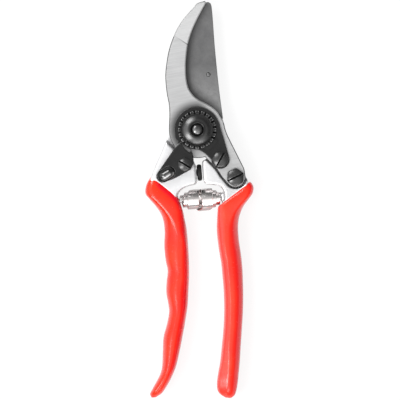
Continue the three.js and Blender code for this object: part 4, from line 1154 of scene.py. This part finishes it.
slotted_screw("latch_pivot_screw", "latch_screw", LATCH_TOP + SCREW_SEAT, 4.1, -31, SHANK_END)
slotted_screw("plate_screw", "nut_lock_screw", PLATE_TOP + SCREW_SEAT, 4.75, 60, SHANK_END)
slotted_screw("tang_screw", "hook_screw", FRONT + SCREW_SEAT, 5.15, 26.5, heights("hook_screw")[0])
back_nut()


# Thumb latch

BUMP_ENDS = in_plan(164.3, 175.6), in_plan(169.0, 172.7)  # middles of its two round ends
BUMP_RADIUS = 3.5
BUMP_RISE = 2.3
BUMP_CURVE = 1.15
BUMP_FALL = 0.22  # share of its height that its lower end lacks
BUMP_SINK = 0.03
CATCH_RADIUS = 0.7


def thumb_bump():
    """A pill-shaped dome from rings that shrink towards its long axis."""
    axis = unit(BUMP_ENDS[1] - BUMP_ENDS[0])
    half = np.linalg.norm(BUMP_ENDS[1] - BUMP_ENDS[0]) / 2
    rings = []
    for far in np.linspace(1, 0.04, 26):
        around = ring(BUMP_RADIUS * far, 0, 72)[:, :2]
        flat = around + np.where((around @ axis)[:, None] > 0, half, -half) * axis
        share = (flat @ axis / (half + BUMP_RADIUS) + 1) / 2
        rise = (BUMP_RISE + BUMP_SINK) * (1 - far * far) ** BUMP_CURVE * (1 - BUMP_FALL * (1 - share))
        rings.append(np.column_stack([flat + sum(BUMP_ENDS) / 2, LATCH_TOP - BUMP_SINK + rise]))
    foot = rings[0] - np.array([0, 0, 0.3])
    return skin([foot.mean(0, keepdims=True), foot, *rings, rings[-1].mean(0, keepdims=True)])


def latch():
    outline, holes = outlines_of("thumb_latch", LATCH_LOW + 0.87, clear=0.6, step=0.3, hole_step=0.4)
    body = plate(outline, round_rims(LATCH_LOW, LATCH_TOP, 0.2, 0.45), holes[:1])
    pin_loop = loops_at("thumb_latch", (PLATE_LOW + PLATE_TOP) / 2)[0]
    pin = turned([(0, PLATE_LOW), (CATCH_RADIUS - 0.15, PLATE_LOW), (CATCH_RADIUS, PLATE_LOW + 0.15),
                  (CATCH_RADIUS, LATCH_LOW + 0.3), (0, LATCH_LOW + 0.3)], 32,
                 (pin_loop.max(0) + pin_loop.min(0)) / 2)
    for name, part, material in (("latch_plate", body, BLACK), ("latch_thumb_bump", thumb_bump(), BLACK_BUMP),
                                 ("latch_catch", pin, BLACK)):
        dress(thing(name, part), material, "thumb_latch")


latch()


# Buffer and return spring, along the tilted cross axis

BUFFER_RADIUS = 4.5
BUFFER_HALF = 1.35
BUFFER_STEM_RADIUS = 1.8
BUFFER_STEM_LENGTH = 5
SPRING_LEFT = (-9.9, -38.916)  # in the plan
SPRING_LENGTH = 24.0
SPRING_END_RADIUS = 2.75
SPRING_MIDDLE_RADIUS = 6.25
STRIP_WIDTH = 6.0
STRIP_THICKNESS = 0.6
STRIP_ROUND = 0.15
STRIP_CROWN = 0.1  # how far the strip's outer side bulges
TAPER_TURNS = 2.25
CROSSING_SHIFT = 7.0
# Turns over which the strip moves to the middle, and to its other half
CROSSINGS = ((2.15, 2.42), (2.66, 2.9))
STEPS_PER_TURN = 48


def rubber_button():
    rows = [(0, -BUFFER_HALF - BUFFER_STEM_LENGTH), (BUFFER_STEM_RADIUS, -BUFFER_HALF - BUFFER_STEM_LENGTH),
            (BUFFER_STEM_RADIUS, -BUFFER_HALF), (3.4, -BUFFER_HALF), (4.0, -BUFFER_HALF + 0.15),
            (4.35, -BUFFER_HALF + 0.5), (BUFFER_RADIUS, -0.35), (BUFFER_RADIUS, 0.35),
            (4.35, BUFFER_HALF - 0.5), (4.0, BUFFER_HALF - 0.15), (3.4, BUFFER_HALF), (0, BUFFER_HALF)]
    c, s = math.cos(CROSS_TILT), math.sin(CROSS_TILT)
    right, upper, _ = box("rubber_buffer")[1]
    place = (right - BUFFER_HALF * c - BUFFER_RADIUS * s, upper - BUFFER_RADIUS * c - BUFFER_HALF * s,
             FORGING_MIDDLE)
    dress(thing("buffer_button", laid_across(turned(rows, 48), place)), RUBBER, "rubber_buffer")


def return_spring():
    """A strip wound in two cones that meet in the middle, where it laps over itself."""
    turns = 2 * TAPER_TURNS + 1
    centre = (STRIP_WIDTH + 0.3) / 2
    shift = (SPRING_LENGTH - CROSSING_SHIFT) / 2 - centre
    wide, narrow = SPRING_MIDDLE_RADIUS - STRIP_THICKNESS / 2, SPRING_END_RADIUS - STRIP_THICKNESS / 2
    side, half = STRIP_WIDTH / 2, STRIP_THICKNESS / 2
    near_side, near_half = side - STRIP_ROUND, half - STRIP_ROUND
    section = [(-half, -near_side), (-half, near_side), (-near_half, side), (near_half, side),
               (half, near_side), (half + 0.08, side / 2), (half + STRIP_CROWN, 0), (half + 0.08, -side / 2),
               (half, -near_side), (near_half, -side), (-near_half, -side)]
    rings = []
    for step in range(round(turns * STEPS_PER_TURN) + 1):
        turn = step / STEPS_PER_TURN
        radius = narrow + (wide - narrow) * min(turn, turns - turn) / (turns / 2)
        along = centre + shift * (min(turn, TAPER_TURNS) + max(turn - TAPER_TURNS - 1, 0)) / TAPER_TURNS
        for start, end in CROSSINGS:
            along += CROSSING_SHIFT / 2 * eased(min(max((turn - start) / (end - start), 0), 1))
        angle = 2 * math.pi * (turn - TAPER_TURNS)
        rings.append([((radius + out) * math.sin(angle), (radius + out) * math.cos(angle), along + off)
                      for out, off in section])
    positions, faces = skin(rings)
    count = len(section)
    faces += [tuple(range(count)), tuple(range(len(positions) - count, len(positions)))]
    left = np.array([*SPRING_LEFT, FORGING_MIDDLE])
    right = left + SPRING_LENGTH * np.array([math.cos(CROSS_TILT), math.sin(CROSS_TILT), 0])
    made = dress(thing("cone_spring", laid_across((positions, faces), left)), STRIP, "return_spring")
    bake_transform(made, "blade_handle", "hook_handle", start=tuple(left * MM), end=tuple(right * MM))


rubber_button()
return_spring()

# Every other new piece rides on the body of the node it stands for
for piece in [o for o in bpy.context.scene.objects if "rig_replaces" in o and "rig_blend" not in o]:
    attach(piece, BODIES[piece["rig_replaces"][0]])

# CAD nodes that stay as they are
for node, material in (("pivot_bush", BRONZE), ("latch_spring_washer", STRIP), ("blade_rivet_1", BRIGHT),
                       ("blade_rivet_2", BRIGHT)):
    frame["nodes"][node].data.materials.clear()
    frame["nodes"][node].data.materials.append(material)


# Floor, light and camera

FLOOR_HALF = 3.0  # metres, as the two below
FLOOR_LOW = -0.0004
CLIP_END = 20
FLOOR_GLOW = 0.86  # keeps it white where it is seen or mirrored

# Soft lights in the sky: direction, cosines of the angles at which each starts and is full, strength
SKY_LIGHTS = (((0, 0, 1), 0.75, 1.0, 0.35), ((0, -0.57, 0.82), 0.7, 0.97, 1.0),
              ((-0.8, 0.1, 0.6), 0.78, 0.98, 0.9))
SKY_BASE = 0.15
LAMP_TARGET = (0, -0.03, 0.01)


def floor():
    mesh = bpy.data.meshes.new("floor")
    corners = ((-1, -1), (1, -1), (1, 1), (-1, 1))
    mesh.from_pydata([(x * FLOOR_HALF, y * FLOOR_HALF, FLOOR_LOW) for x, y in corners], [], [(0, 1, 2, 3)])
    look = Surface("floor", Roughness=0.9, Specular_IOR_Level=0.0, Emission_Color=grey(1.0))
    rays = look.add("ShaderNodeLightPath", {}, "Is Camera Ray")
    seen = look.maths("MAXIMUM", rays, rays.node.outputs["Is Glossy Ray"])
    look.link("Base Color", look.mixed(seen, grey(0.7), grey(0.16)))
    look.link("Emission Strength", look.product(seen, FLOOR_GLOW))
    mesh.materials.append(look.material)
    placed("floor", mesh)


def world():
    made = bpy.data.worlds.new("studio")
    bpy.context.scene.world = made
    made.use_nodes = True
    sky = Nodes(made.node_tree)
    direction = sky.add("ShaderNodeTexCoord", {}, "Generated")
    x, _, z = sky.parts(direction)
    light = SKY_BASE
    for centre, edge, core, strength in SKY_LIGHTS:
        facing = sky.dot(direction, unit(np.array(centre)))
        light = sky.maths("ADD", light, sky.spread(facing, edge, core, 0.0, strength, SMOOTH))
    right = sky.product(sky.spread(x, 0.7, 0.95, 0.0, 1.0, SMOOTH),
                        sky.spread(z, 0.05, 0.25, 1.0, 0.0, SMOOTH))
    horizon = sky.spread(z, 0.03, 0.18, 0.45, 0.0, SMOOTH)
    light = sky.maths("ADD", light, sky.maths("ADD", right, horizon))
    colour = sky.mixed(sky.add("ShaderNodeLightPath", {}, "Is Camera Ray"), light, grey(1.0))
    background = made.node_tree.nodes["Background"]
    made.node_tree.links.new(colour, background.inputs["Color"])
    background.inputs["Strength"].default_value = 1.0


def lamp(name, place, size, power):
    data = bpy.data.lights.new(name, "AREA")
    data.shape = "RECTANGLE"
    data.size, data.size_y = size
    data.energy = power
    made = placed(name, data)
    made.location = place
    made.rotation_mode = "QUATERNION"
    made.rotation_quaternion = (Vector(LAMP_TARGET) - Vector(place)).to_track_quat("-Z", "Y")


def camera():
    data = bpy.data.cameras.new("camera")
    data.sensor_width = SENSOR_WIDTH
    data.lens = SENSOR_WIDTH * CAMERA_DISTANCE / (PHOTO_WIDTH * PIXEL * MM)
    data.clip_end = CLIP_END
    made = placed("camera", data)
    made.location = (*in_plan(PHOTO_WIDTH / 2, PHOTO_WIDTH / 2) * MM, FRONT * MM + CAMERA_DISTANCE)
    bpy.context.scene.camera = made


floor()
world()
lamp("key", (-0.36, 0.42, 0.56), (0.3, 0.3), 2.3)
lamp("front", (0.04, -0.62, 0.5), (0.55, 0.16), 1.2)
lamp("side", (-0.385, -0.315, 0.64), (0.24, 0.4), 3.0)
camera()
bpy.context.scene.view_settings.view_transform = "Standard"
